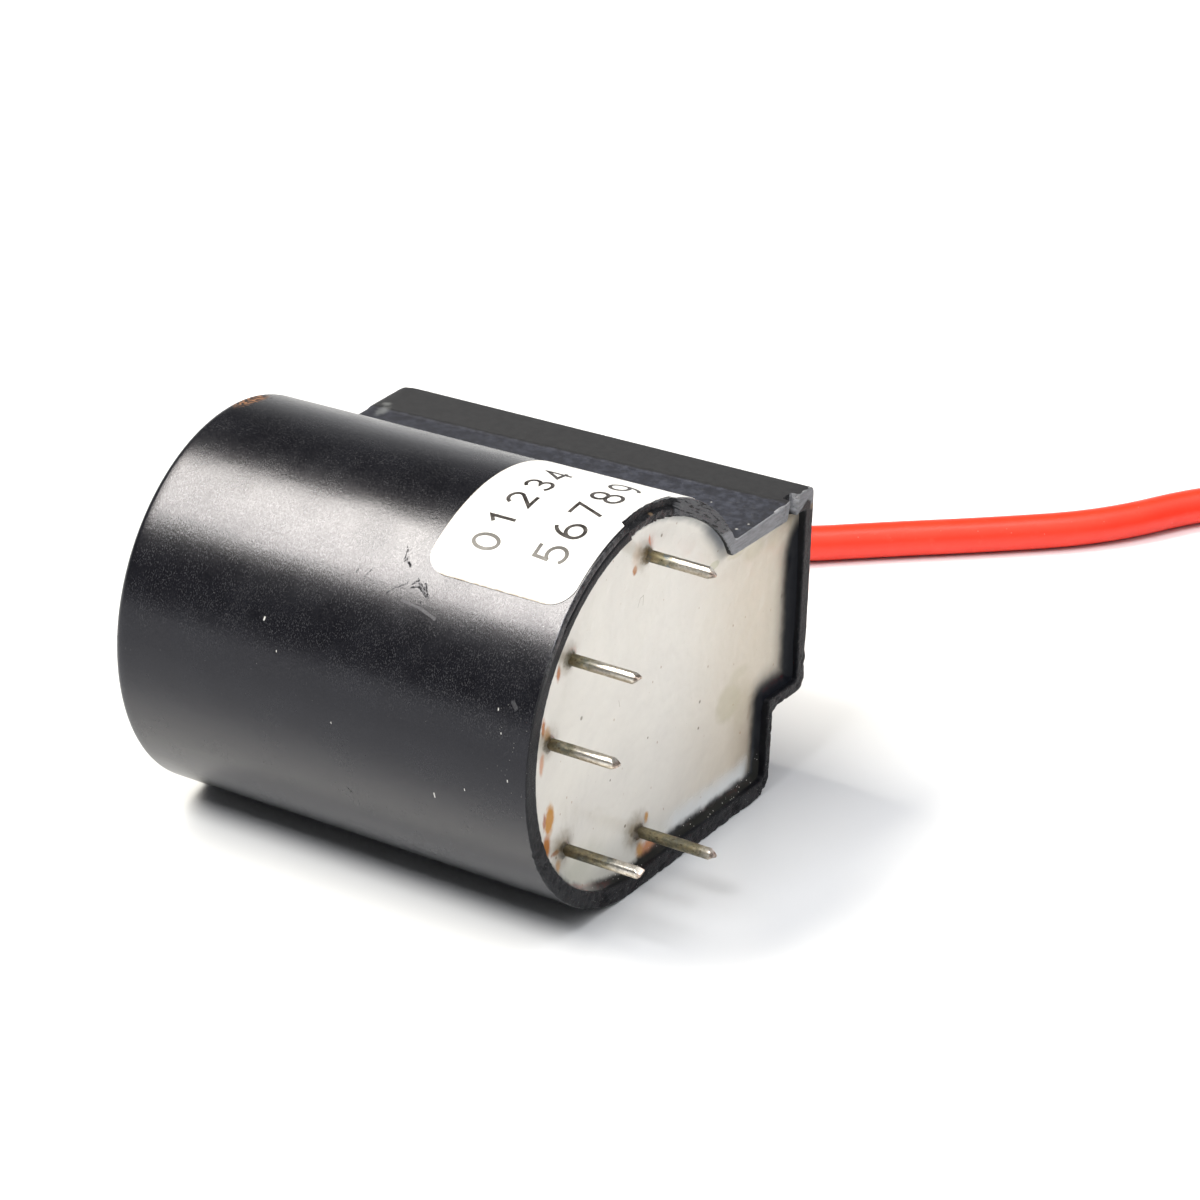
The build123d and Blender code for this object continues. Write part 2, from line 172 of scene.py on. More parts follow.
# ------------------------------------------------------------------ material helpers
class Graph:
    """A material's node tree, with coordinates in millimetres from the rim."""

    def __init__(self, name):
        self.mat = bpy.data.materials.new(name)
        self.mat.use_nodes = True
        self.tree = self.mat.node_tree
        self.tree.nodes.clear()
        self.out = self.tree.nodes.new("ShaderNodeOutputMaterial")
        self.bsdf = self.tree.nodes.new("ShaderNodeBsdfPrincipled")
        self.tree.links.new(self.bsdf.outputs[0], self.out.inputs[0])
        coord = self.tree.nodes.new("ShaderNodeTexCoord")
        shift = self.node("ShaderNodeVectorMath", operation="SUBTRACT")
        self.tree.links.new(coord.outputs["Object"], shift.inputs[0])
        shift.inputs[1].default_value = tuple(ORIGIN)
        scale = self.node("ShaderNodeVectorMath", operation="SCALE")
        self.tree.links.new(shift.outputs[0], scale.inputs[0])
        scale.inputs["Scale"].default_value = 1000.0
        self.p = scale.outputs[0]
        parts = self.node("ShaderNodeSeparateXYZ")
        self.tree.links.new(self.p, parts.inputs[0])
        self.x, self.y, self.z = parts.outputs

    def node(self, kind, **settings):
        n = self.tree.nodes.new(kind)
        for k, v in settings.items():
            setattr(n, k, v)
        return n

    def put(self, socket, value):
        if isinstance(value, bpy.types.NodeSocket):
            self.tree.links.new(value, socket)
        elif isinstance(value, (tuple, list)) and len(value) == 3 and socket.type == "RGBA":
            socket.default_value = (*value, 1.0)
        else:
            socket.default_value = value

    def math(self, op, a, b=0.0, c=0.0, clamp=False):
        n = self.node("ShaderNodeMath", operation=op, use_clamp=clamp)
        for s, v in zip(n.inputs, (a, b, c)):
            self.put(s, v)
        return n.outputs[0]

    def add(self, a, b):
        return self.math("ADD", a, b)

    def sub(self, a, b):
        return self.math("SUBTRACT", a, b)

    def mul(self, a, b):
        return self.math("MULTIPLY", a, b)

    def inv(self, a):
        return self.math("SUBTRACT", 1.0, a)

    def maxi(self, *v):
        out = v[0]
        for w in v[1:]:
            out = self.math("MAXIMUM", out, w)
        return out

    def vec(self, op, a, b):
        n = self.node("ShaderNodeVectorMath", operation=op)
        self.put(n.inputs[0], a)
        self.put(n.inputs[1], b)
        return n.outputs[0]

    def join(self, x, y, z):
        n = self.node("ShaderNodeCombineXYZ")
        for s, v in zip(n.inputs, (x, y, z)):
            self.put(s, v)
        return n.outputs[0]

    def noise(self, vector, scale, detail=2.0, rough=0.5, distort=0.0, colour=False):
        n = self.node("ShaderNodeTexNoise")
        self.put(n.inputs["Vector"], vector)
        for k, v in (("Scale", scale), ("Detail", detail), ("Roughness", rough), ("Distortion", distort)):
            self.put(n.inputs[k], v)
        return n.outputs["Color" if colour else "Fac"]

    def cells(self, vector, scale, feature="F1", colour=False, jitter=1.0):
        n = self.node("ShaderNodeTexVoronoi", feature=feature)
        self.put(n.inputs["Vector"], vector)
        self.put(n.inputs["Scale"], scale)
        self.put(n.inputs["Randomness"], jitter)
        return n.outputs["Color" if colour else "Distance"]

    def band(self, value, a, b, lo=0.0, hi=1.0, curve="SMOOTHSTEP"):
        """lo where value is a, hi where it is b, clamped."""
        n = self.node("ShaderNodeMapRange", interpolation_type=curve, clamp=True)
        for k, v in zip(n.inputs, (value, a, b, lo, hi)):
            self.put(k, v)
        return n.outputs[0]

    def window(self, value, a, b, soft):
        """1 between a and b, fading to 0 outside."""
        return self.mul(
            self.band(value, a - soft, a + soft), self.band(value, b - soft, b + soft, 1.0, 0.0)
        )

    def mix(self, fac, a, b, kind="MIX"):
        n = self.node("ShaderNodeMix", data_type="RGBA", blend_type=kind)
        self.put(n.inputs[0], fac)
        self.put(n.inputs[6], a)
        self.put(n.inputs[7], b)
        return n.outputs[2]

    def blend(self, fac, a, b):
        n = self.node("ShaderNodeMix", data_type="FLOAT")
        self.put(n.inputs[0], fac)
        self.put(n.inputs[2], a)
        self.put(n.inputs[3], b)
        return n.outputs[0]

    def spot(self, centre, radius, soft=0.5, stretch=(1, 1, 1), ragged=0.0, scale=1.5):
        """A soft patch about a point: 1 inside, 0 outside, with a ragged edge."""
        d = self.vec("SUBTRACT", self.p, centre)
        d = self.vec("DIVIDE", d, stretch)
        n = self.node("ShaderNodeVectorMath", operation="LENGTH")
        self.put(n.inputs[0], d)
        dist = n.outputs["Value"]
        if ragged:
            dist = self.add(dist, self.mul(self.sub(self.noise(self.p, scale, 3), 0.5), ragged))
        return self.band(dist, radius * (1 + soft), radius * (1 - soft))

    def dot(self, a, b):
        n = self.node("ShaderNodeVectorMath", operation="DOT_PRODUCT")
        self.put(n.inputs[0], a)
        self.put(n.inputs[1], b)
        return n.outputs["Value"]

    def strokes(self, where, lines, soft=0.03):
        """Thin marks: where is (u, v, 1) and each line (start, end, width) in the same mm."""
        total = 0.0
        for a, b, w in lines:
            L = hypot(b[0] - a[0], b[1] - a[1])
            dx, dy = (b[0] - a[0]) / L, (b[1] - a[1]) / L
            along = self.dot(where, (dx, dy, -(a[0] * dx + a[1] * dy) - L / 2))
            across = self.dot(where, (-dy, dx, a[0] * dy - a[1] * dx))
            m = self.mul(
                self.band(self.math("ABSOLUTE", along), L / 2 + w / 2 + soft, L / 2),
                self.band(self.math("ABSOLUTE", across), w / 2 + soft, max(w / 2 - soft, 0.0)),
            )
            total = self.math("MAXIMUM", m, total)
        return total

    def bump(self, height, strength, distance, normal=None):
        n = self.node("ShaderNodeBump")
        self.put(n.inputs["Strength"], strength)
        self.put(n.inputs["Distance"], distance)
        self.put(n.inputs["Height"], height)
        if normal is not None:
            self.put(n.inputs["Normal"], normal)
        return n.outputs[0]

    def finish(self, **sockets):
        for k, v in sockets.items():
            self.put(self.bsdf.inputs[k.replace("_", " ")], v)
        return self.mat


def linear(r, g, b):
    """An sRGB colour from 0 to 255 as linear values."""
    return tuple((c / 255 / 12.92) if c <= 10.3 else ((c / 255 + 0.055) / 1.055) ** 2.4 for c in (r, g, b))


# ------------------------------------------------------------------ case material
# rubbed and scratched marks on the barrel: (X, mm round it from the +Y side), ends and width
DARK_MARKS = [
    ((-18.48, 44.67), (-18.66, 43.83), 0.10), ((-18.39, 44.84), (-18.23, 44.45), 0.22),
    ((-18.21, 44.49), (-18.12, 44.86), 0.16), ((-17.86, 44.89), (-17.55, 45.19), 0.36),
    ((-16.49, 47.14), (-15.72, 46.84), 0.26), ((-16.56, 46.79), (-16.09, 46.30), 0.20),
    ((-16.17, 46.13), (-15.76, 46.76), 0.20), ((-15.68, 46.92), (-14.44, 47.68), 0.34),
    ((-15.23, 46.43), (-14.51, 47.52), 0.30), ((-15.69, 46.57), (-15.03, 47.01), 0.20),
    ((-14.99, 48.22), (-14.91, 48.30), 0.20), ((-17.15, 46.90), (-17.09, 46.79), 0.15),
    ((-17.26, 46.98), (-18.38, 47.82), 0.07), ((-22.71, 47.17), (-22.53, 46.64), 0.08),
    ((-21.64, 47.43), (-21.18, 46.37), 0.07), ((-18.74, 48.30), (-18.52, 48.01), 0.12),
    ((-7.11, 48.14), (-6.83, 48.33), 0.12), ((-20.9, 69.0), (-20.5, 69.5), 0.2), ((-18.93, 43.36), (-18.51, 43.91), 0.10),
]
PALE_MARKS = [
    ((-16.96, 48.52), (-14.85, 48.76), 0.22), ((-14.85, 48.76), (-12.93, 49.32), 0.26),
    ((-6.83, 48.28), (-6.55, 48.52), 0.12), ((-2.5, 54.5), (-2.1, 54.9), 0.4),
]
WHITE_SPECKS = [
    ((-30.71, 54.03), (-30.66, 53.75), 0.16), ((-28.70, 56.50), (-28.68, 56.62), 0.08),
    ((-21.90, 61.80), (-21.88, 61.92), 0.08), ((-10.46, 65.87), (-10.40, 66.32), 0.12),
    ((-6.90, 64.20), (-6.88, 64.36), 0.09), ((-3.90, 55.40), (-3.88, 55.55), 0.10),
    ((-2.10, 61.80), (-2.08, 61.95), 0.10), ((-3.20, 57.50), (-3.18, 57.60), 0.08),
]


def case_material():
    g = Graph("case_plastic")
    turn = g.math("ARCTAN2", g.sub(g.z, AXIS_Z), g.y)  # -pi to pi, the seam is hidden by the lobe's foot
    turn = g.add(turn, g.mul(g.band(turn, -1.5, -1.6), 2 * pi))
    around = g.mul(turn, 19.6)
    degrees_round = g.mul(turn, 180 / pi)
    on_lobe = g.mul(g.band(g.y, 16.6, 17.2), g.band(g.z, 29.6, 30.0))
    border = g.add(g.sub(g.y, g.mul(g.x, 0.062)), g.mul(g.sub(g.noise(g.p, 0.9, 2.0), 0.5), 0.35))
    strip_two = g.mul(on_lobe, g.band(border, 26.6, 27.0))
    strip_one = g.mul(on_lobe, g.inv(strip_two))
    cloud = g.noise(g.p, 0.22, 3.0, 0.55)
    base = g.mix(g.band(cloud, 0.35, 0.7), (0.0032, 0.0033, 0.0050), (0.0044, 0.0046, 0.0068))
    # the lobe's top: mottled blue-grey next to the barrel, plain dark grey on the raised strip
    blotch = g.noise(g.p, 1.25, 4.0, 0.62)
    patch = g.noise(g.p, 0.45, 2.0, 0.5)
    mottled = g.mix(g.band(blotch, 0.38, 0.66), (0.0125, 0.0135, 0.0195), (0.034, 0.037, 0.050))
    mottled = g.mix(g.mul(g.band(g.noise(g.p, 2.6, 3.0, 0.6), 0.56, 0.72), 0.45), mottled, (0.060, 0.058, 0.060))
    mottled = g.mix(g.mul(g.band(patch, 0.5, 0.7), 0.5), mottled, (0.012, 0.0125, 0.016))
    mottled = g.mix(g.band(g.x, -12.0, -40.0, 0.0, 0.45), mottled, (0.012, 0.0125, 0.016))
    base = g.mix(strip_one, base, mottled)
    base = g.mix(g.mul(strip_two, 0.95), base, g.mix(g.band(blotch, 0.3, 0.7), (0.015, 0.015, 0.0155), (0.021, 0.021, 0.0215)))
    worn = g.mul(on_lobe, g.mul(g.band(g.x, -2.6, -0.6), g.band(g.noise(g.p, 1.8, 3.0, 0.6), 0.42, 0.6)))
    base = g.mix(g.mul(worn, 0.6), base, (0.010, 0.010, 0.012))

    # moulding texture: fine short strokes across the barrel
    grain = g.noise(g.vec("MULTIPLY", g.p, (1.7, 0.9, 0.9)), 5.0, 2.0, 0.55)
    fine = g.noise(g.vec("MULTIPLY", g.p, (1.5, 0.9, 0.9)), 9.0, 2.0, 0.6)
    glitter = g.noise(g.vec("MULTIPLY", g.p, (1.5, 0.95, 0.95)), 5.4, 2.0, 0.7)
    end = g.band(g.x, -46.2, -46.9)  # the closed end has an even finish
    # the pale grit is partly the moulding's grain and partly painted glints, so it fades out towards the underside
    upper = g.blend(end, g.band(degrees_round, 178, 158, 0.15, 1.0), 0.5)
    grit = g.mul(g.band(glitter, 0.53, 0.64), upper)
    base = g.mix(g.mul(g.mul(grit, g.inv(on_lobe)), g.band(g.noise(g.p, 0.5, 2.0), 0.3, 0.6, 0.5, 1.0)), base, (0.028, 0.028, 0.031))

    # a few pale flecks and dust
    fleck_p = g.vec("MULTIPLY", g.p, (1.0, 1.5, 1.5))
    fleck = g.band(g.cells(fleck_p, 1.7), 0.085, 0.03)
    pick = g.band(g.noise(g.p, 0.75, 1.0), 0.5, 0.62)
    fleck = g.mul(fleck, pick)
    dust = g.mul(g.band(g.cells(g.p, 2.6), 0.09, 0.03), g.band(g.noise(g.p, 1.3, 1.0), 0.60, 0.64))
    base = g.mix(g.mul(fleck, 0.35), base, (0.15, 0.15, 0.16))
    base = g.mix(g.mul(dust, 0.6), base, (0.34, 0.34, 0.34))
    near_rim = g.mul(g.band(g.x, -7.0, -1.0), g.window(degrees_round, 132, 205, 8))
    spray = g.mul(g.band(g.cells(g.p, 2.2), 0.13, 0.05), g.band(g.noise(g.p, 1.1, 1.0), 0.5, 0.58))
    base = g.mix(g.mul(g.mul(spray, near_rim), 0.8), base, (0.22, 0.22, 0.21))

    # rubbed marks by the label, copper-brown on the back edge, white on the lobe
    warp = g.mul(g.sub(g.noise(g.p, 4.5, 3.0, 0.7), 0.5), 0.36)
    warp_b = g.mul(g.sub(g.noise(g.vec("ADD", g.p, (31.0, 7.0, 3.0)), 4.5, 3.0, 0.7), 0.5), 0.36)
    where = g.join(g.add(g.x, warp), g.add(around, warp_b), 1.0)
    straight = g.join(g.x, around, 1.0)
    dark_marks = g.strokes(where, [(a, b, w * 0.62) for a, b, w in DARK_MARKS], 0.05)
    dark_marks = g.mul(dark_marks, g.band(g.noise(g.vec("MULTIPLY", g.p, (2.0, 0.7, 0.7)), 5.0, 2.0, 0.6), 0.40, 0.54, 0.0, 1.0))
    pale_marks = g.mul(g.strokes(straight, PALE_MARKS, 0.08), 0.5)
    base = g.mix(g.mul(dark_marks, 0.9), base, (0.012, 0.012, 0.013))
    base = g.mix(g.mul(pale_marks, 0.2), base, (0.25, 0.25, 0.26))
    base = g.mix(g.mul(g.strokes(straight, WHITE_SPECKS, 0.04), 0.85), base, (0.60, 0.60, 0.58))
    copper = g.spot((-46.5, 2.3, 38.9), 2.6, 0.45, (0.35, 1.0, 0.25), 0.5, 2.5)
    base = g.mix(g.mul(copper, g.band(g.noise(g.p, 3.0, 3.0), 0.42, 0.6)), base, (0.23, 0.115, 0.06))
    white = g.maxi(
        g.spot((-45.4, 23.4, 30.5), 0.7, 0.8, (0.7, 1.3, 0.6), 0.8, 2.2),
        g.spot((-45.9, 24.9, 30.8), 0.5, 0.8, (0.7, 0.8, 0.6), 0.8, 2.2),
    )
    base = g.mix(g.mul(white, 0.4), base, (0.20, 0.21, 0.21))
    lobe_specks = g.maxi(
        g.spot((-1.3, 19.0, 30.9), 0.16, 0.4), g.spot((-1.7, 18.3, 30.9), 0.14, 0.4),
        g.spot((-0.9, 20.6, 30.9), 0.12, 0.4), g.spot((-6.5, 23.0, 30.9), 0.1, 0.4),
    )
    base = g.mix(g.mul(lobe_specks, 0.8), base, (0.30, 0.30, 0.29))

    rough = g.blend(g.band(cloud, 0.3, 0.75), 0.225, 0.275)
    rough = g.add(rough, g.mul(g.sub(grain, 0.5), 0.10))
    rough = g.blend(strip_one, rough, 0.52)
    rough = g.blend(strip_two, rough, 0.46)
    rough = g.blend(dark_marks, rough, 0.85)
    rough = g.blend(g.maxi(pale_marks, copper, white, lobe_specks), rough, 0.6)

    h = g.mul(g.sub(grain, 0.5), 1.0)
    h = g.add(h, g.mul(g.sub(fine, 0.5), 0.55))
    h = g.add(h, g.mul(fleck, 0.3))
    h = g.add(h, g.mul(dark_marks, -0.8))
    long_p = g.vec("MULTIPLY", g.p, (0.25, 1.0, 1.0))
    h = g.add(h, g.mul(g.sub(g.noise(long_p, 1.1, 2.0), 0.5), 0.6))
    normal = g.bump(h, 0.13, 0.00008)
    # the fine speckle of the mould's surface shows as glitter
    shine = g.blend(upper, 0.5, g.band(glitter, 0.34, 0.66, 0.40, 0.60, "LINEAR"))
    shine = g.mul(shine, g.blend(end, g.band(degrees_round, 160, 176, 1.0, 0.64), 0.8))
    dulled = g.mul(g.band(g.x, -33.0, -43.0, 0.0, 0.5), g.window(degrees_round, 56, 98, 6))
    shine = g.mul(shine, g.inv(g.mul(dulled, g.inv(end))))
    shine = g.blend(on_lobe, shine, 0.42)
    shine = g.blend(dark_marks, shine, 0.12)
    return g.finish(
        Base_Color=base, Roughness=rough, Normal=normal, IOR=1.55, Specular_IOR_Level=shine,
        Specular_Tint=(0.885, 0.895, 1.0),
    )


def rim_material():
    """The rim: sawn across the top of the barrel, broken next to it, and moulded elsewhere."""
    g = Graph("case_rim")
    angle = g.mul(g.math("ARCTAN2", g.sub(g.z, AXIS_Z), g.y), 180 / pi)
    radius = g.math("SQRT", g.add(g.mul(g.y, g.y), g.mul(g.sub(g.z, 20.0), g.sub(g.z, 20.0))))
    barrel = g.band(g.y, 17.4, 16.9)
    sawn = g.mul(g.window(angle, 38.6, 74.0, 0.5), barrel)
    pale = g.maxi(
        g.mul(g.window(g.add(angle, g.mul(g.sub(radius, 19.0), 3.0)), 30.0, 41.0, 0.5), g.band(g.y, 18.0, 17.5)),
        g.mul(g.band(g.y, 16.0, 16.6), g.band(g.z, 28.6, 28.9)),
    )
    pale = g.mul(pale, g.inv(g.window(g.sub(g.y, g.mul(g.sub(g.z, 29.5), 0.25)), 26.85, 28.75, 0.12)))
    wedge = g.sub(g.z, g.mul(g.math("ABSOLUTE", g.sub(g.y, 30.6)), -0.55))
    block = g.mul(g.band(g.y, 28.55, 28.75), g.maxi(g.band(wedge, 30.0, 30.25), g.mul(g.band(g.y, 31.2, 31.4), g.band(g.z, 28.7, 29.2))))
    pale = g.maxi(g.math("MINIMUM", pale, g.band(g.y, 28.75, 28.55)), block)
    broken = g.mul(g.window(angle, 74.0, 100.0, 0.4), barrel)
    base = (0.0068, 0.0070, 0.0085)
    n1 = g.noise(g.p, 2.2, 4.0, 0.65)
    rough_patch = g.band(g.noise(g.p, 3.4, 4.0, 0.7), 0.5, 0.68)
    lower = g.maxi(g.band(g.z, 19.0, 13.0), g.band(g.y, 24.0, 26.0))
    base = g.mix(g.mul(g.mul(rough_patch, lower), 0.4), base, (0.034, 0.035, 0.040))
    # a rubbed strip round the outer edge: smoother from polish, and lighter in colour as a painted sheen
    rubbed_and_sheen = g.mul(g.window(angle, 104.0, 150.0, 5.0), g.band(radius, 19.25, 19.5))
    base = g.mix(g.mul(rubbed_and_sheen, g.band(n1, 0.35, 0.65)), base, (0.09, 0.09, 0.095))
    # saw marks run slantwise across the wall
    saw_p = g.join(g.add(g.mul(g.y, 0.5), g.mul(g.z, 0.87)), g.mul(g.sub(g.mul(g.y, 0.87), g.mul(g.z, 0.5)), 0.12), 0.0)
    saw = g.noise(saw_p, 4.6, 3.0, 0.7)
    base = g.mix(g.mul(sawn, g.band(saw, 0.38, 0.5)), base, (0.108, 0.110, 0.117))
    base = g.mix(g.mul(sawn, g.mul(g.band(saw, 0.58, 0.70), 0.6)), base, (0.145, 0.147, 0.155))
    streak = g.noise(g.vec("MULTIPLY", g.p, (1, 0.5, 2.4)), 1.4, 3.0, 0.6)
    base = g.mix(pale, base, g.mix(g.band(streak, 0.3, 0.7), (0.20, 0.203, 0.215), (0.275, 0.28, 0.30)))
    base = g.mix(broken, base, (0.0085, 0.0087, 0.0100))
    fleck = g.mul(g.band(g.cells(g.p, 2.4), 0.17, 0.07), g.band(g.noise(g.p, 1.1, 1.0), g.band(g.z, 2.0, 14.0, 0.42, 0.52), g.band(g.z, 2.0, 14.0, 0.5, 0.6)))
    base = g.mix(g.mul(g.mul(fleck, g.inv(g.maxi(pale, sawn))), g.band(g.z, 12.0, 2.0, 0.4, 0.9)), base, (0.33, 0.33, 0.33))
    brown = g.maxi(
        g.spot((-0.6, 15.85, 30.83), 0.35, 0.5, (1, 1, 1), 0.2, 4.0),
        g.spot((-0.6, 16.42, 30.06), 0.3, 0.5, (1, 1, 1), 0.2, 4.0),
        g.spot((-0.2, 31.6, 29.1), 0.35, 0.5, (1, 1, 1), 0.2, 4.0),
        g.spot((-0.5, 1.2, 39.2), 0.25, 0.5, (1, 1, 1), 0.2, 4.0),
    )
    base = g.mix(g.mul(brown, 0.8), base, (0.25, 0.17, 0.10))
    rough = g.blend(rubbed_and_sheen, 0.48, 0.3)
    rough = g.blend(broken, rough, 0.34)
    rough = g.blend(g.maxi(sawn, pale), rough, 0.62)
    h = g.mul(g.sub(g.noise(g.p, 5.0, 4.0, 0.7), 0.5), 1.0)
    h = g.add(h, g.mul(g.mul(rough_patch, lower), 1.6))
    h = g.add(h, g.mul(g.mul(sawn, g.sub(saw, 0.5)), 3.0))
    h = g.add(h, g.mul(g.mul(broken, g.sub(g.noise(g.p, 2.0, 3.0, 0.6), 0.5)), 2.0))
    normal = g.bump(h, 0.7, 0.00014)
    return g.finish(
        Base_Color=base, Roughness=rough, Normal=normal, IOR=1.5, Specular_IOR_Level=0.28,
        Specular_Tint=(0.92, 0.94, 1.0),
    )


# ------------------------------------------------------------------ case shape
OUT_RIM = [
    (0, 0), (24.4, 0), (25.6, 0.95), (25.85, 8.6), (26.6, 9.15), (31.2, 9.15), (32.0, 9.9),
    (31.95, 30.75), (31.5, 31.2), (27.0, 31.15), (26.5, 31.0),
]
OUT_END = [
    (0, 0), (23.4, 0), (24.4, 0.95), (24.6, 8.85), (25.3, 9.4), (29.9, 9.4), (30.6, 10.1),
    (30.5, 30.35), (30.05, 30.8), (23.9, 30.75), (23.4, 30.6),
]
IN_RIM = [(0, 1.75), (24.75, 1.75), (24.95, 10.4), (30.45, 10.4), (30.45, 29.1)]
IN_END = [(0, 1.75), (23.5, 1.75), (23.7, 10.6), (29.2, 10.6), (29.1, 29.2)]
ROUNDING = [
    (0, 1), (-0.4, 1), (-1, 0.4), (-1, 0.6), (-0.6, 1), (-0.4, 1), (-1, 0.4), (-1, -0.4),
    (-0.4, -1), (0, -1), (0, -1),
]
ARC_SHARE = np.r_[np.linspace(0, 0.72, 235)[:-1], np.linspace(0.72, 1, 50)[:-1]]
FOOT = np.linspace(0, 1, 111)[:-1]


def corner(a, b, c, reach, n):
    """n points round the corner b, on a curve that starts and ends up to reach from it."""
    a, b, c = (np.asarray(v, float) for v in (a, b, c))
    la, lc = np.linalg.norm(a - b), np.linalg.norm(c - b)
    p, q = b + (a - b) / la * min(reach, 0.46 * la), b + (c - b) / lc * min(reach, 0.46 * lc)
    t = np.linspace(0, 1, n)[:, None]
    return (1 - t) ** 2 * p + 2 * t * (1 - t) * b + t**2 * q


def between(a, b, n):
    """n points strictly between two others."""
    t = np.linspace(0, 1, n + 2)[1:-1, None]
    return np.asarray(a) * (1 - t) + np.asarray(b) * t


def arc_and_foot(r, zv, bottom, step, thin=0.0):
    """The V between barrel and lobe, the arc over the top, and the quadrant down to the foot.
    thin widens the arc next to the V, where the barrel's wall is thinner."""
    rv = r + thin
    yv = sqrt(rv * rv - (zv - AXIS_Z) ** 2)
    av = atan2(zv - AXIS_Z, yv)
    start = av + step / rv
    ang = start + (pi - start) * ARC_SHARE
    rr = r + thin * (1 - smooth(radians(30), radians(66), ang))
    arc = np.c_[rr * np.cos(ang), AXIS_Z + rr * np.sin(ang)]
    k, h, t = 0.5522847, AXIS_Z - bottom, FOOT[:, None]
    p = [np.array(v) for v in ((-r, AXIS_Z), (-r, AXIS_Z - k * h), (-k * r, bottom), (0, bottom))]
    foot = (1 - t) ** 3 * p[0] + 3 * t * (1 - t) ** 2 * p[1] + 3 * t**2 * (1 - t) * p[2] + t**3 * p[3]
    return np.array([yv, zv]), arc, foot


def outer_ring(x, inset=0.0):
    t = -x / LENGTH
    r, zv = lerp(20.0, 19.0, t) - inset, lerp(30.85, 30.45, t) - inset
    P = [
        np.array([lerp(a[0], b[0], t) + inset * m[0], lerp(a[1], b[1], t) + inset * m[1]])
        for a, b, m in zip(OUT_RIM, OUT_END, ROUNDING)
    ]
    # the lobe's back corner is rounded in plan
    depth = LENGTH + x
    plan = 2.0 - sqrt(max(4.0 - max(2.0 - depth, 0.0) ** 2, 0.0))
    for i, w in ((4, 0.0), (5, 0.6), (6, 0.75), (7, 0.75), (8, 0.6)):
        P[i][0] -= plan * w
    v, arc, foot = arc_and_foot(r, zv, P[0][1], 0.3)
    rows = [arc, foot]
    c1, c2 = corner(P[0], P[1], P[2], 0.7, 7), corner(P[1], P[2], P[3], 0.7, 7)
    c3, c4 = corner(P[2], P[3], P[4], 0.35, 5), corner(P[3], P[4], P[5], 0.35, 5)
    c5, c6 = corner(P[4], P[5], P[6], 0.5, 5), corner(P[5], P[6], P[7], 0.5, 5)
    c7, c8 = corner(P[6], P[7], P[8], 0.3, 4), corner(P[7], P[8], P[9], 0.3, 4)
    c9, c10 = corner(P[8], P[9], P[10], 0.12, 4), corner(P[9], P[10], v, 0.12, 4)
    cv = corner(P[10], v, arc[0], 0.32, 7)[:-1]
    rows += [between(P[0], c1[0], 79), c1, c2, between(c2[-1], c3[0], 24), c3, c4]
    rows[2] = np.r_[[P[0]], rows[2]]
    rows += [between(c4[-1], c5[0], 14), c5, c6, between(c6[-1], c7[0], 62), c7, c8]
    rows += [between(c8[-1], c9[0], 36), c9, c10, between(c10[-1], cv[0], 66), cv]
    return np.vstack(rows)


def inner_ring(x, shrink=0.0):
    t = -x / LENGTH
    r, zv = lerp(18.25, 17.3, t) - shrink, lerp(29.32, 29.1, t) - shrink
    move = [(0, 1), (-1, 1), (-1, 1), (-1, 1), (-1, -1)]
    P = [
        np.array([lerp(a[0], b[0], t) + shrink * m[0], lerp(a[1], b[1], t) + shrink * m[1]])
        for a, b, m in zip(IN_RIM, IN_END, move)
    ]
    v, arc, foot = arc_and_foot(r, zv, P[0][1], 0.3, 0.55)
    top = lambda y: np.array([y, lerp(P[4][1], v[1], (P[4][0] - y) / (P[4][0] - v[0]))])
    c1 = corner(P[0], P[1], P[2], 0.9, 14)
    c2, c3 = corner(P[1], P[2], P[3], 0.5, 10), corner(P[2], P[3], P[4], 0.7, 10)
    c4 = corner(P[3], P[4], v, 0.5, 8)
    a, b = top(27.0), top(26.6)
    cv = corner(P[4], v, arc[0], 0.32, 7)[:-1]
    rows = [arc, foot, [P[0]], between(P[0], c1[0], 79), c1, between(c1[-1], c2[0], 24), c2]
    rows += [between(c2[-1], c3[0], 14), c3, between(c3[-1], c4[0], 62), c4]
    rows += [between(c4[-1], a, 36), between(a, b, 8), between(b, cv[0], 66), cv]
    return np.vstack(rows)


rim_out, rim_in = outer_ring(0.0), inner_ring(0.0)
N = len(rim_out)
assert len(rim_in) == N
rim_angle = np.degrees(np.arctan2(rim_out[:, 1] - AXIS_Z, rim_out[:, 0]))
rim_angle[rim_angle < -90] += 360
on_barrel = (rim_out[:, 0] < 17.2) & (rim_out[:, 1] > 1.0)


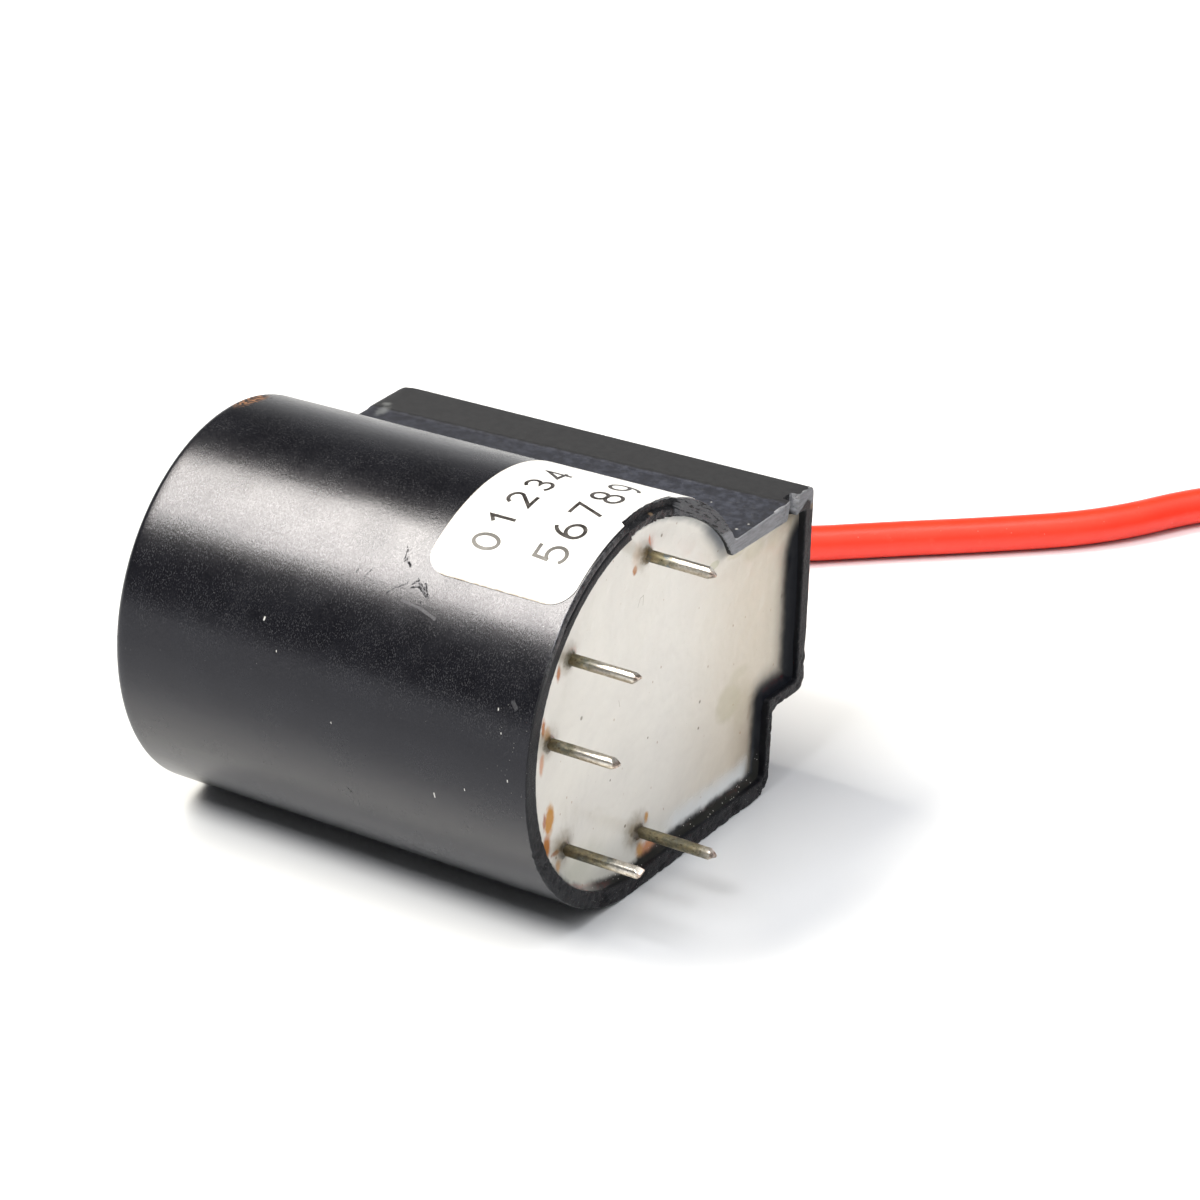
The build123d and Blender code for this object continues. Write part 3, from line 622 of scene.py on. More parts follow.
def rim_depth(s, pts):
    """How far the rim is cut or worn back, in mm, s of the way from its outer edge to its inner."""
    a = rim_angle
    n = fbm(np.c_[pts * 1.3, np.full(N, s * 2)], 11, 4)
    fine = fbm(np.c_[pts * 5.0, np.full(N, s * 3)], 23, 3)
    d = 0.02 + 0.018 * n + 0.012 * fine
    edge_o, edge_i = exp(-s / 0.035), exp(-(1 - s) / 0.03)
    d = d + 0.11 * edge_o + 0.09 * edge_i
    # ragged arrises where the rim is sawn
    sawn = (a > 32) & (a < 74.2) & on_barrel
    ragged = np.clip(fbm(np.c_[pts * 3.6, np.zeros(N)], 5, 3) + 0.2, 0, 2)
    d = d + sawn * (0.26 * edge_o + 0.2 * edge_i) * ragged
    # broken away, in two levels, with a crack across it
    broken = smooth(74.0, 74.5, a) * (1 - smooth(99.4, 100.2, a)) * on_barrel
    level = 0.78 - 0.42 * smooth(0.46, 0.53, s + 0.03 * vnoise(np.c_[pts, np.zeros(N)], 3))
    level = level * (0.9 + 0.2 * smooth(74, 88, a)) + 0.10 * fbm(np.c_[pts * 1.8, np.full(N, s)], 31, 3)
    level = level - 0.10 * (1 - s)
    level = level + 0.16 * np.exp(-(((a - 84.5 - 2.0 * s) / 0.35) ** 2))
    level = level + 0.35 * smooth(0.86, 1.0, s) * np.clip(fbm(np.c_[pts * 1.6, np.zeros(N)], 41, 2), 0, 1)
    d = d * (1 - broken) + broken * np.maximum(level, 0.12)
    # a groove along the left of the rim, with the strip outside it worn back; that strip's lighter colour in the rim
    # material is painted sheen
    groove = smooth(98, 102, a) * (1 - smooth(134, 142, a))
    d = d + groove * 0.16 * exp(-(((s - 0.42) / 0.05) ** 2)) + groove * 0.10 * max(0.4 - s, 0) / 0.4
    # the gap in the lobe's top wall
    y = pts[:, 0]
    lean = y - 0.25 * (pts[:, 1] - 29.5)
    gap = smooth(26.86, 26.96, lean) * (1 - smooth(28.64, 28.74, lean)) * (pts[:, 1] > 25)
    d = d * (1 - gap) + gap * (0.95 + 0.12 * n)
    step = smooth(24.3, 24.45, y) * (1 - smooth(25.5, 26.8, y)) * (pts[:, 1] > 25)
    d = d + step * 0.22 * edge_o
    # chips in the lower rim
    for cy, cz, r, deep in ((-5.3, 1.5, 0.9, 0.28), (19.2, 0.9, 0.8, 0.35), (24.6, 0.9, 1.2, 0.15), (-16.2, 9.8, 0.7, 0.2)):
        dist = np.hypot(pts[:, 0] - cy, pts[:, 1] - cz)
        d = d + deep * np.exp(-((dist / r) ** 2)) * (0.7 + 0.5 * fine)
    low = 1 - smooth(10, 18, pts[:, 1])
    d = d + low * np.clip(fbm(np.c_[pts * 1.7, np.full(N, s * 1.5)], 51, 4), -0.15, 1) * 0.13
    d = d + low * (edge_o + edge_i) * np.clip(fbm(np.c_[pts * 2.8, np.zeros(N)], 59, 3) + 0.2, 0, 1) * 0.11
    right_side = smooth(26, 28, y)
    d = d + right_side * (edge_o + edge_i) * np.clip(fbm(np.c_[pts * 2.6, np.zeros(N)], 57, 3), 0, 1) * 0.18
    return np.clip(d, 0.0, 1.16)


def build_case():
    rings, tags = [], []  # tag: which material the faces after the ring get
    end = outer_ring(-LENGTH, 0.8)
    centre = np.array([13.0, 19.0])
    for k in (0.04, 0.3, 0.6, 0.85, 0.96, 0.99):
        rings.append(np.c_[np.full(N, -LENGTH), centre + (end - centre) * k])
        tags.append(0)
    for a in np.radians(np.linspace(90, 0, 8)):
        x = -LENGTH + 0.8 * (1 - sin(a))
        rings.append(np.c_[np.full(N, x), outer_ring(x, 0.8 * (1 - cos(a)))])
        tags.append(0)
    shares = [0, 0.012, 0.035, 0.08, 0.16, 0.25, 0.34, 0.42, 0.50, 0.58, 0.67, 0.76, 0.85, 0.92, 0.965, 0.99, 1]
    depth_out = rim_depth(0.0, rim_out)
    depth_in = rim_depth(1.0, rim_in)
    xs = np.r_[np.arange(-46, -3.5, 1.0), -3.0, -2.4, -1.9, -1.5, -1.2, -0.95, -0.75, -0.55, -0.38, -0.24, -0.14, -0.07]
    for x in xs:
        ring = outer_ring(x)
        back = x if x < -3 else -depth_out + x * (3 - depth_out) / 3
        # slight unevenness of the moulding
        pts = np.c_[np.full(N, x), ring]
        swell = 0.02 * fbm(pts * (0.12, 0.2, 0.2), 61, 2) * smooth(47, 44, -x)
        out = np.c_[ring[:, 0], ring[:, 1] - AXIS_Z]
        lift = (np.hypot(out[:, 0], out[:, 1]) < 20.2) & (ring[:, 0] < 16.0) & (ring[:, 1] > 1)
        unit = out / np.maximum(np.hypot(out[:, 0], out[:, 1]), 1e-6)[:, None]
        ring = ring + unit * (np.minimum(swell, 0.0) * lift)[:, None]
        rings.append(np.c_[np.broadcast_to(back, N), ring])
        tags.append(0)
    for s in shares:
        pts = rim_out * (1 - s) + rim_in * s
        depth = rim_depth(s, pts)
        rings.append(np.c_[-depth, pts])
        tags.append(1)
    tags[-1] = 2
    for x in (-0.04, -0.12, -0.25, -0.45, -0.7, -1.0, -1.4, -2.2):
        back = -depth_in + x * (2.2 - depth_in) / 2.2
        rings.append(np.c_[np.broadcast_to(back, N), inner_ring(x)])
        tags.append(2)
    for x in (-8, -20, -32, -45.5):
        rings.append(np.c_[np.full(N, float(x)), inner_ring(x)])
        tags.append(2)
    base = inner_ring(-45.5)
    for k in (0.5, 0.04):
        rings.append(np.c_[np.full(N, -45.5), centre + (base - centre) * k])
        tags.append(2)
    verts = np.vstack(rings)
    faces = tube_faces(len(rings), N)
    index = [tags[k] for k in range(len(rings) - 1) for _ in range(N)]
    faces.append(tuple(range(N)))
    faces.append(tuple((len(rings) - 1) * N + i for i in range(N)))
    index += [0, 0]
    total = len(verts)

    # the moulded collar that the lead comes out of, with a waist and a rounded mouth
    profile = [
        (2.0, 30.9), (3.85, 30.9), (3.72, 31.05), (3.55, 31.3), (3.45, 31.7), (3.4, 32.2), (3.4, 33.1),
        (3.38, 33.35), (3.3, 33.55), (3.15, 33.72), (2.95, 33.84), (2.7, 33.9), (2.35, 33.9),
        (2.15, 33.87), (2.03, 33.8), (1.99, 33.65), (1.98, 33.3), (1.98, 31.5),
    ]
    m, cx, cz = 72, -39.5, 18.0
    collar = []
    for r, y in profile:
        for k in range(m):
            a = 2 * pi * k / m
            collar.append((cx + r * cos(a), y, cz + r * sin(a)))
    verts = np.vstack([verts, np.array(collar)])
    faces += tube_faces(len(profile), m, total)
    last = total + (len(profile) - 1) * m
    faces += [(last + i, last + (i + 1) % m, total + (i + 1) % m, total + i) for i in range(m)]
    index += [0] * (len(faces) - len(index))
    mesh = closed_mesh("case_moulding", world(verts), faces, index)
    obj = new_object("case_moulding", mesh, "case_plastic", [CASE, RIM, WALL], 50)
    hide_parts("case")
    return obj


def wall_material():
    """The inside wall above the resin."""
    g = Graph("case_inside")
    fleck = g.mul(g.band(g.cells(g.p, 1.9), 0.14, 0.05), g.band(g.noise(g.p, 0.8, 1.0), 0.54, 0.62))
    smear = g.band(g.noise(g.vec("MULTIPLY", g.p, (1.0, 0.5, 0.5)), 1.5, 3.0), 0.52, 0.75)
    base = g.mix(g.mul(smear, 0.4), (0.0062, 0.0068, 0.0086), (0.018, 0.020, 0.024))
    base = g.mix(g.mul(fleck, 0.25), base, (0.20, 0.19, 0.18))
    glue = g.maxi(
        g.spot((-0.5, 14.9, 30.3), 0.17, 0.4), g.spot((-0.6, 15.4, 29.8), 0.2, 0.4),
        g.spot((-0.5, 14.3, 30.9), 0.12, 0.4),
    )
    base = g.mix(g.mul(glue, 0.85), base, (0.30, 0.25, 0.15))
    h = g.noise(g.p, 4.0, 3.0)
    return g.finish(
        Base_Color=base, Roughness=g.band(smear, 0, 1, 0.3, 0.5), Normal=g.bump(h, 0.3, 0.0001), IOR=1.5,
        Specular_IOR_Level=0.25, Specular_Tint=(0.92, 0.94, 1.0),
    )


CASE, RIM, WALL = case_material(), rim_material(), wall_material()
case_moulding = build_case()


# ------------------------------------------------------------------ resin
pins = []
for i in range(1, 6):
    lo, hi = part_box(f"terminal_pin_{i}")
    c = (np.array([0, (lo.y + hi.y) / 2, (lo.z + hi.z) / 2]) - ORIGIN) / MM
    pins.append((c[1], c[2], (hi.x - ORIGIN[0]) / MM))


def resin_material():
    g = Graph("epoxy_resin")
    wall = g.node("ShaderNodeAttribute", attribute_name="edge").outputs["Fac"]  # mm to the wall
    cloud = g.noise(g.p, 0.16, 3.0, 0.5)
    base = g.mix(g.band(cloud, 0.3, 0.7), linear(229, 225, 217), linear(224, 220, 213))
    # warmer and darker towards the lobe, cooler along the bottom
    base = g.mix(g.band(g.sub(g.y, g.mul(g.sub(g.z, 20.0), 0.12)), 5, 25), base, linear(207, 196, 178))
    base = g.mix(g.mul(g.band(g.y, 23.0, 28.5), g.band(cloud, 0.3, 0.6, 0.35, 0.8)), base, linear(186, 176, 158))
    low = g.band(g.add(g.z, g.mul(g.y, 0.12)), 7.2, 4.6)
    base = g.mix(g.mul(low, 0.6), base, linear(204, 203, 196))

    def stain(base, colour, centre, radius, stretch, amount, soft=0.5, ragged=0.7, scale=1.5):
        return g.mix(g.mul(g.spot(centre, radius, soft, stretch, ragged, scale), amount), base, colour)

    X = SURFACE_X
    olive, brown = linear(184, 175, 145), linear(150, 132, 108)
    base = stain(base, brown, (X, 22.3, 7.9), 3.0, (2, 0.75, 1.3), 0.5, 0.85, 1.6, 0.6)
    base = stain(base, linear(120, 108, 96), (X, 23.4, 3.6), 1.4, (2, 0.9, 0.7), 0.35, 0.85, 0.8)
    # olive patches where the resin has crept and yellowed
    base = stain(base, olive, (X, 18.7, 12.4), 1.9, (2, 1.2, 1.05), 0.55, 0.28, 0.6, 0.8)
    base = stain(base, linear(186, 174, 146), (X, 21.2, 11.6), 1.8, (2, 1.1, 1.3), 0.45, 0.8, 0.8, 0.8)
    base = stain(base, olive, (X, 20.4, 14.9), 1.1, (2, 1.5, 0.55), 0.35, 0.6, 0.5, 0.9)
    base = stain(base, olive, (X, 18.9, 28.6), 1.0, (2, 1.9, 0.6), 0.6, 0.3, 0.5, 1.3)
    base = stain(base, olive, (X, 22.2, 27.7), 1.3, (2, 1.5, 0.9), 0.5, 0.35, 0.6, 1.1)
    base = stain(base, olive, (X, 26.2, 27.5), 1.2, (2, 0.9, 1.1), 0.4, 0.6, 0.6, 1.3)
    base = stain(base, linear(196, 193, 168), (X, 14.6, 28.7), 0.8, (2, 1.15, 0.55), 0.8, 0.2, 0.25, 2.0)
    # grey film at the foot of the opening
    base = stain(base, linear(120, 122, 112), (X, -5.2, 2.9), 2.6, (2, 1.5, 0.55), 0.35, 0.7, 0.8)
    base = stain(base, linear(172, 172, 152), (X, -9.0, 6.0), 2.6, (2, 1.6, 0.8), 0.5, 0.8, 1.2, 0.7)
    # pale, cool bloom along the lower edge with a cloudy border
    bloom_d = g.add(wall, g.mul(g.sub(g.noise(g.p, 0.7, 4.0, 0.6), 0.5), 1.5))
    lower = g.mul(g.band(g.z, 5.6, 4.0), g.mul(g.band(g.y, 6.0, 9.5), g.band(g.y, 23.6, 22.4)))
    bloom = g.mul(lower, g.mul(g.band(bloom_d, 0.4, 1.1), g.band(bloom_d, 4.4, 1.2)))
    base = g.mix(g.mul(bloom, 0.95), base, linear(224, 227, 228))
    # flux at the pins
    amber, rust, pink = linear(194, 132, 22), linear(160, 82, 18), linear(192, 118, 60)
    base = stain(base, amber, (X, -14.0, 13.4), 1.25, (2, 0.6, 1.25), 1.0, 0.35, 1.0, 1.2)
    base = stain(base, rust, (X, -14.9, 13.6), 0.55, (2, 0.5, 1.5), 0.85, 0.5, 0.5, 2.0)
    base = stain(base, linear(182, 112, 44), (X, -14.5, 10.9), 1.1, (2, 0.6, 1.0), 0.95, 0.45, 0.7, 1.6)
    base = stain(base, rust, (X, -12.9, 9.5), 0.42, (2, 1.7, 0.6), 0.85, 0.5, 0.5, 2.0)
    base = stain(base, amber, (X, -12.5, 8.0), 0.6, (2, 0.8, 1.0), 0.8, 0.6, 0.5, 2.0)
    base = stain(base, pink, (X, 4.5, 2.5), 1.45, (2, 1.15, 0.85), 0.95, 0.4, 1.0, 1.2)
    base = stain(base, amber, (X, 2.6, 3.2), 0.85, (2, 0.7, 1.1), 0.9, 0.6, 0.7, 1.6)
    base = stain(base, amber, (X, 3.7, 6.2), 0.5, (2, 0.8, 1.1), 0.95, 0.45, 0.5, 2.0)
    base = stain(base, linear(176, 98, 22), (X, -15.6, 23.6), 0.5, (2, 0.6, 1.7), 1.0, 0.5, 0.4, 2.0)
    base = stain(base, amber, (X, -15.0, 22.7), 0.6, (2, 0.8, 1.2), 0.8, 0.6, 0.4, 2.0)
    base = stain(base, pink, (X, -15.7, 19.9), 0.7, (2, 0.5, 1.5), 0.75, 0.5, 0.4, 2.0)
    base = stain(base, linear(172, 96, 20), (X, -13.2, 28.2), 0.55, (2, 0.6, 1.4), 1.0, 0.5, 0.4, 2.0)
    base = stain(base, linear(214, 140, 110), (X, 2.2, 35.9), 0.4, (2, 0.45, 1.5), 0.8, 0.45, 0.2, 2.4)
    base = stain(base, linear(164, 98, 20), (X, -0.2, 33.7), 0.46, (2, 0.8, 1.0), 1.0, 0.4, 0.3, 2.4)
    base = stain(base, linear(228, 200, 176), (X, 0.1, 34.9), 0.9, (2, 0.8, 1.2), 0.5, 0.8, 0.6, 1.4)
    # dark rings and dirt round the pins
    for k, (py, pz, tip) in enumerate(pins):
        ring = g.spot((X, py - 0.4, pz + 0.15), (1.2, 1.25, 1.35, 1.5, 1.5)[k], 0.8, (3, 1.1, 1.0), 1.0, 1.6)
        base = g.mix(g.mul(ring, (0.55, 0.6, 0.5, 0.75, 0.75)[k]), base, linear(112, 94, 60))
        ring = g.spot((X, py - 0.12, pz), 0.86, 0.3, (3, 1.05, 1), 0.45, 3.0)
        base = g.mix(g.mul(ring, 0.9), base, (linear(92, 72, 28), linear(70, 62, 34), linear(66, 56, 34), linear(58, 50, 36), linear(62, 52, 38))[k])
    # small rust-brown specks, a few larger ones where they sit
    speck = g.mul(g.band(g.cells(g.vec("MULTIPLY", g.p, (1, 1.3, 0.8)), 0.62), 0.09, 0.045), g.band(g.noise(g.p, 0.5, 1.0), 0.46, 0.56))
    base = g.mix(g.mul(speck, 0.6), base, linear(160, 120, 84))
    tiny = g.mul(g.band(g.cells(g.p, 1.5), 0.09, 0.05), g.band(g.noise(g.p, 0.9, 1.0), 0.54, 0.62))
    base = g.mix(g.mul(tiny, 0.35), base, linear(140, 122, 102))
    for y, z, r in ((13.09, 14.75, 0.17), (13.04, 11.92, 0.15), (3.42, 14.83, 0.12), (-8.86, 21.88, 0.2), (-3.24, 13.07, 0.12), (4.48, 35.58, 0.17), (28.5, 20.2, 0.22), (0.9, 5.5, 0.2), (-0.2, 6.9, 0.16), (-12.8, 9.0, 0.14)):
        base = g.mix(g.mul(g.spot((X, y, z), r, 0.4, (4, 1, 1)), 0.75), base, linear(104, 90, 70))
    hair = g.join(g.y, g.z, 1.0)
    marks = g.strokes(hair, [((0.6, 29.6), (1.0, 30.4), 0.07), ((1.0, 30.4), (1.6, 30.5), 0.07), ((1.6, 30.5), (1.5, 29.5), 0.07), ((-2.2, 21.0), (-2.0, 20.3), 0.06)], 0.04)
    base = g.mix(g.mul(marks, 0.6), base, linear(150, 140, 124))
    # painted shade: the resin is darkened towards the wall, widest at the right and along the bottom; right next to the
    # wall, where the resin creeps up it, the black wall also shows through
    wall_gap = g.add(wall, g.mul(g.sub(g.noise(g.p, 0.8, 3.0), 0.5), 0.7))
    right = g.band(g.y, 21.5, 24.5)
    right_wall_gap = g.add(g.math("MINIMUM", wall, g.math("MAXIMUM", g.sub(30.3, g.y), 0.0)), g.mul(g.sub(g.noise(g.p, 0.6, 2.0), 0.5), 0.5))
    right_wall_gap = g.blend(g.band(g.z, 12.5, 10.8), right_wall_gap, wall_gap)
    right_wall_gap = g.add(right_wall_gap, g.band(g.z, 24.5, 29.2, 0.0, 1.8))
    under = g.mul(g.band(g.z, 9.0, 4.5), g.band(g.y, 1.0, 8.0))
    # painted shade colours: a mid and a dark step at the right wall, then the same along the bottom
    base = g.mix(g.mul(g.band(right_wall_gap, 3.7, 1.0), right), base, linear(128, 120, 108))
    base = g.mix(g.mul(g.band(right_wall_gap, 2.4, 0.75), right), base, linear(22, 24, 30))
    base = g.mix(g.mul(g.band(wall_gap, 1.5, 0.6), under), base, linear(62, 64, 68))
    base = g.mix(g.mul(g.band(wall_gap, 1.0, 0.4), under), base, linear(22, 23, 27))
    # painted shade at the foot of the opening, next to the wall
    foot = g.mul(g.band(g.z, 5.5, 3.2), g.band(g.y, -10.0, -5.0))
    base = g.mix(g.mul(g.band(wall_gap, 1.1, 0.35), foot), base, linear(44, 44, 42))
    grit = g.mul(g.band(g.cells(g.p, 2.0), 0.16, 0.07), g.band(wall_gap, 1.6, 0.9))
    base = g.mix(g.mul(g.mul(grit, foot), 0.8), base, linear(206, 204, 198))
    # painted shade on the resin under the top wall
    top = g.band(g.z, 27.0, 31.0)
    base = g.mix(g.mul(g.band(wall_gap, 0.9, 0.0), g.mul(top, g.band(g.y, 17.0, 14.0, 0.2, 0.6))), base, linear(110, 116, 118))
    # painted shade next to the wall elsewhere, strongest low down
    rest = g.inv(g.maxi(right, under, top, foot))
    base = g.mix(g.mul(g.band(wall_gap, 0.7, 0.1), g.mul(rest, g.band(g.z, 12, 6, 0.25, 0.9))), base, linear(60, 58, 54))
    # painted shade on the resin next to the right end of the arc
    arc_shade = g.mul(g.window(g.y, 12.0, 16.0, 1.2), g.band(g.z, 27.0, 29.5))
    base = g.mix(g.mul(g.mul(g.band(wall, 1.7, 0.0), arc_shade), 0.85), base, linear(66, 72, 82))
    rough = g.band(g.noise(g.p, 0.5, 2.0), 0.3, 0.7, 0.16, 0.24)
    rough = g.blend(bloom, rough, 0.42)
    shaded = g.maxi(g.mul(g.band(right_wall_gap, 2.6, 1.0), right), g.mul(g.band(wall_gap, 1.3, 0.5), under), g.mul(g.band(wall_gap, 1.2, 0.5), foot))
    h = g.add(g.mul(g.noise(g.p, 0.35, 2.0), 3.0), g.mul(g.noise(g.p, 3.0, 2.0), 0.12))
    h = g.add(h, g.mul(speck, 0.25))
    return g.finish(
        Base_Color=base, Roughness=rough, Normal=g.bump(h, 0.35, 0.0002), IOR=1.53,
        Specular_IOR_Level=g.blend(shaded, 0.5, 0.06),
    )


def wall_distance(p, loop):
    """From each point to a closed line, in mm."""
    a, b = loop, np.roll(loop, -1, axis=0)
    d = b - a
    best = np.full(len(p), 1e9)
    for i in range(0, len(p), 2000):
        q = p[i : i + 2000]
        t = np.clip(((q[:, None] - a) * d).sum(-1) / np.maximum((d**2).sum(-1), 1e-12), 0, 1)
        near = a + t[..., None] * d
        best[i : i + 2000] = np.sqrt(((q[:, None] - near) ** 2).sum(-1)).min(1)
    return best


def build_resin():
    """The resin's surface: level in the middle, drawn up the wall and the pins."""
    loop = inner_ring(SURFACE_X)[::2]
    centre = np.array([14.0, 20.0])
    rows, edges = [loop], []
    for k in (0.992, 0.984, 0.973, 0.96, 0.943, 0.922, 0.895):
        rows.append(centre + (loop - centre) * k)
    m = len(loop)
    edges = [(i, (i + 1) % m) for i in range(m)]
    inner = centre + (loop - centre) * 0.88
    step = 0.62
    gy, gz = np.meshgrid(np.arange(-18, 31, step), np.arange(1, 39, step * 0.866))
    gy = gy + (np.arange(gy.shape[0]) % 2)[:, None] * step / 2
    grid = np.c_[gy.ravel(), gz.ravel()]
    path = inner
    inside = np.zeros(len(grid), bool)
    for a, b in zip(path, np.roll(path, -1, axis=0)):
        hit = (a[1] > grid[:, 1]) != (b[1] > grid[:, 1])
        with np.errstate(divide="ignore", invalid="ignore"):
            cross = (b[0] - a[0]) * (grid[:, 1] - a[1]) / (b[1] - a[1]) + a[0]
        inside ^= hit & (grid[:, 0] < cross)
    grid = grid[inside]
    near = np.min([np.hypot(grid[:, 0] - y, grid[:, 1] - z) for y, z, _ in pins], axis=0)
    grid = grid[near > 2.5]
    around = []
    for y, z, _ in pins:
        for r, n in ((0.5, 30), (0.6, 30), (0.68, 30), (0.78, 30), (0.92, 30), (1.1, 30), (1.35, 30), (1.7, 30), (2.1, 30), (2.5, 30)):
            a = 2 * pi * (np.arange(n) + 0.5 * (r * 10 % 2 > 1)) / n
            around.append(np.c_[y + r * np.cos(a), z + r * np.sin(a)])
        around.append([[y, z]])
    pts = np.vstack(rows + [grid] + around)
    body = pts[m:]
    keep = np.r_[np.ones(m, bool), wall_distance(body, loop) > 0.06]
    pts = pts[keep]
    co, _, tris, _, _, _ = delaunay_2d_cdt([Vector(p) for p in pts], edges, [], 1, 1e-6)
    flat = np.array([[v.x, v.y] for v in co])
    tris = [tuple(t) for t in tris]
    dist = wall_distance(flat, loop)
    # the creep up the wall is higher in the corners of the lobe
    climb = 0.62 + 0.22 * vnoise(np.c_[flat * 0.35, np.zeros(len(flat))], 71)
    climb = climb * np.where(flat[:, 0] > 20, 0.8, 1.0)
    x = SURFACE_X + 0.06 + climb * np.exp(-dist / 0.55)
    x = x + 0.02 * fbm(np.c_[flat * 0.25, np.zeros(len(flat))], 77, 2)
    for k, (y, z, _) in enumerate(pins):
        d = np.hypot(flat[:, 0] - y, flat[:, 1] - z)
        rise = (0.42, 0.36, 0.34, 0.4, 0.45)[k] * np.exp(-np.maximum(d - 0.6, 0) / 0.42)
        rise = rise * (1 + 0.25 * np.sin(3 * np.arctan2(flat[:, 1] - z, flat[:, 0] - y) + k))
        x = x + rise
    x = np.minimum(x, -0.42)
    n = len(flat)
    front = np.c_[x, flat]
    back = np.c_[np.full(n, SURFACE_X - 0.25), flat]
    verts = np.vstack([front, back])
    faces = list(tris) + [tuple(n + i for i in reversed(t)) for t in tris]
    count = {}
    for t in tris:
        for a, b in ((t[0], t[1]), (t[1], t[2]), (t[2], t[0])):
            count[(a, b)] = count.get((a, b), 0) + 1
    for a, b in list(count):
        if (b, a) not in count:
            faces.append((b, a, n + a, n + b))
    mesh = closed_mesh("resin_surface", world(verts), faces)
    attribute = mesh.attributes.new("edge", "FLOAT", "POINT")
    attribute.data.foreach_set("value", np.r_[dist, dist].astype(np.float32))
    return new_object("resin_surface", mesh, "epoxy_resin", [RESIN], 60)


RESIN = resin_material()
resin_surface = build_resin()


# ------------------------------------------------------------------ pins
PIN_R = 0.6


def pin_material(k, y, z, tip):
    """Tinned copper wire, dark with flux and oxide at its root and bright towards its end."""
    g = Graph(f"tinned_pin_{k + 1}")
    along = g.sub(tip, g.x)  # mm from the tip
    bright_from = (4.3, 4.9, 4.2, 2.9, 0.9)[k]
    n1 = g.noise(g.p, 1.3, 4.0, 0.6)
    n2 = g.noise(g.vec("MULTIPLY", g.p, (0.7, 1, 1)), 3.4, 4.0, 0.62)
    dull = g.band(g.add(along, g.mul(g.sub(n1, 0.5), 4.0)), bright_from - 1.1, bright_from + 1.1)
    # the underside is painted brown and gold further out than the top: partly tarnish, partly a painted reflection of
    # the cream resin below
    under = g.band(g.sub(g.z, z), 0.12, -0.34)
    root = g.band(g.x, 0.9, -0.7)
    silver = g.mix(g.band(n2, 0.35, 0.65), (0.66, 0.64, 0.60), (0.50, 0.46, 0.40))
    gold = g.mix(g.band(n1, 0.4, 0.62), (0.46, 0.38, 0.26), (0.60, 0.53, 0.42))
    gold = g.mix(g.mul(g.band(n2, 0.53, 0.64), 0.85), gold, (0.20, 0.14, 0.08))
    silver = g.mix(g.mul(under, 0.85), silver, gold)
    oxide = g.mix(g.band(n1, 0.36, 0.64), (0.36, 0.31, 0.185), (0.19, 0.185, 0.135))
    oxide = g.mix(g.mul(g.band(g.noise(g.p, 0.9, 2.0), 0.55, 0.68), (0.8, 0.35, 0.25, 0.4, 0.1)[k]), oxide, (0.19, 0.25, 0.30))
    oxide = g.mix(g.mul(g.band(n2, 0.56, 0.68), 0.8), oxide, (0.065, 0.05, 0.03))
    oxide = g.mix(g.mul(g.band(n2, 0.44, 0.34), 0.5), oxide, (0.52, 0.46, 0.33))
    oxide = g.mix((0.0, 0.0, 0.15, 0.5, 0.3)[k], oxide, (0.05, 0.042, 0.028))
    base = g.mix(dull, silver, oxide)
    base = g.mix(g.mul(root, 0.7), base, (0.13, 0.095, 0.035) if k == 0 else (0.10, 0.082, 0.045))
    speck = g.mul(g.band(g.cells(g.p, 2.4), 0.22, 0.09), g.band(g.noise(g.p, 1.2, 1.0), 0.46, 0.56))
    base = g.mix(g.mul(speck, 0.75), base, (0.10, 0.06, 0.035))
    cut = g.band(along, 0.40, 0.22)  # nipped face
    base = g.mix(g.mul(cut, 0.8), base, g.mix(g.band(n2, 0.42, 0.58), (0.50, 0.38, 0.31), (0.16, 0.12, 0.10)))
    rough = g.blend(dull, g.band(n2, 0.3, 0.7, 0.27, 0.40), g.band(n2, 0.3, 0.7, 0.36, 0.52))
    metal = g.blend(dull, 1.0, 0.8)
    h = g.add(g.mul(g.noise(g.p, 1.8, 3.0), 0.8), g.mul(g.mul(n2, dull), 0.7))
    return g.finish(Base_Color=base, Metallic=metal, Roughness=rough, Normal=g.bump(h, 0.10, 0.00008))


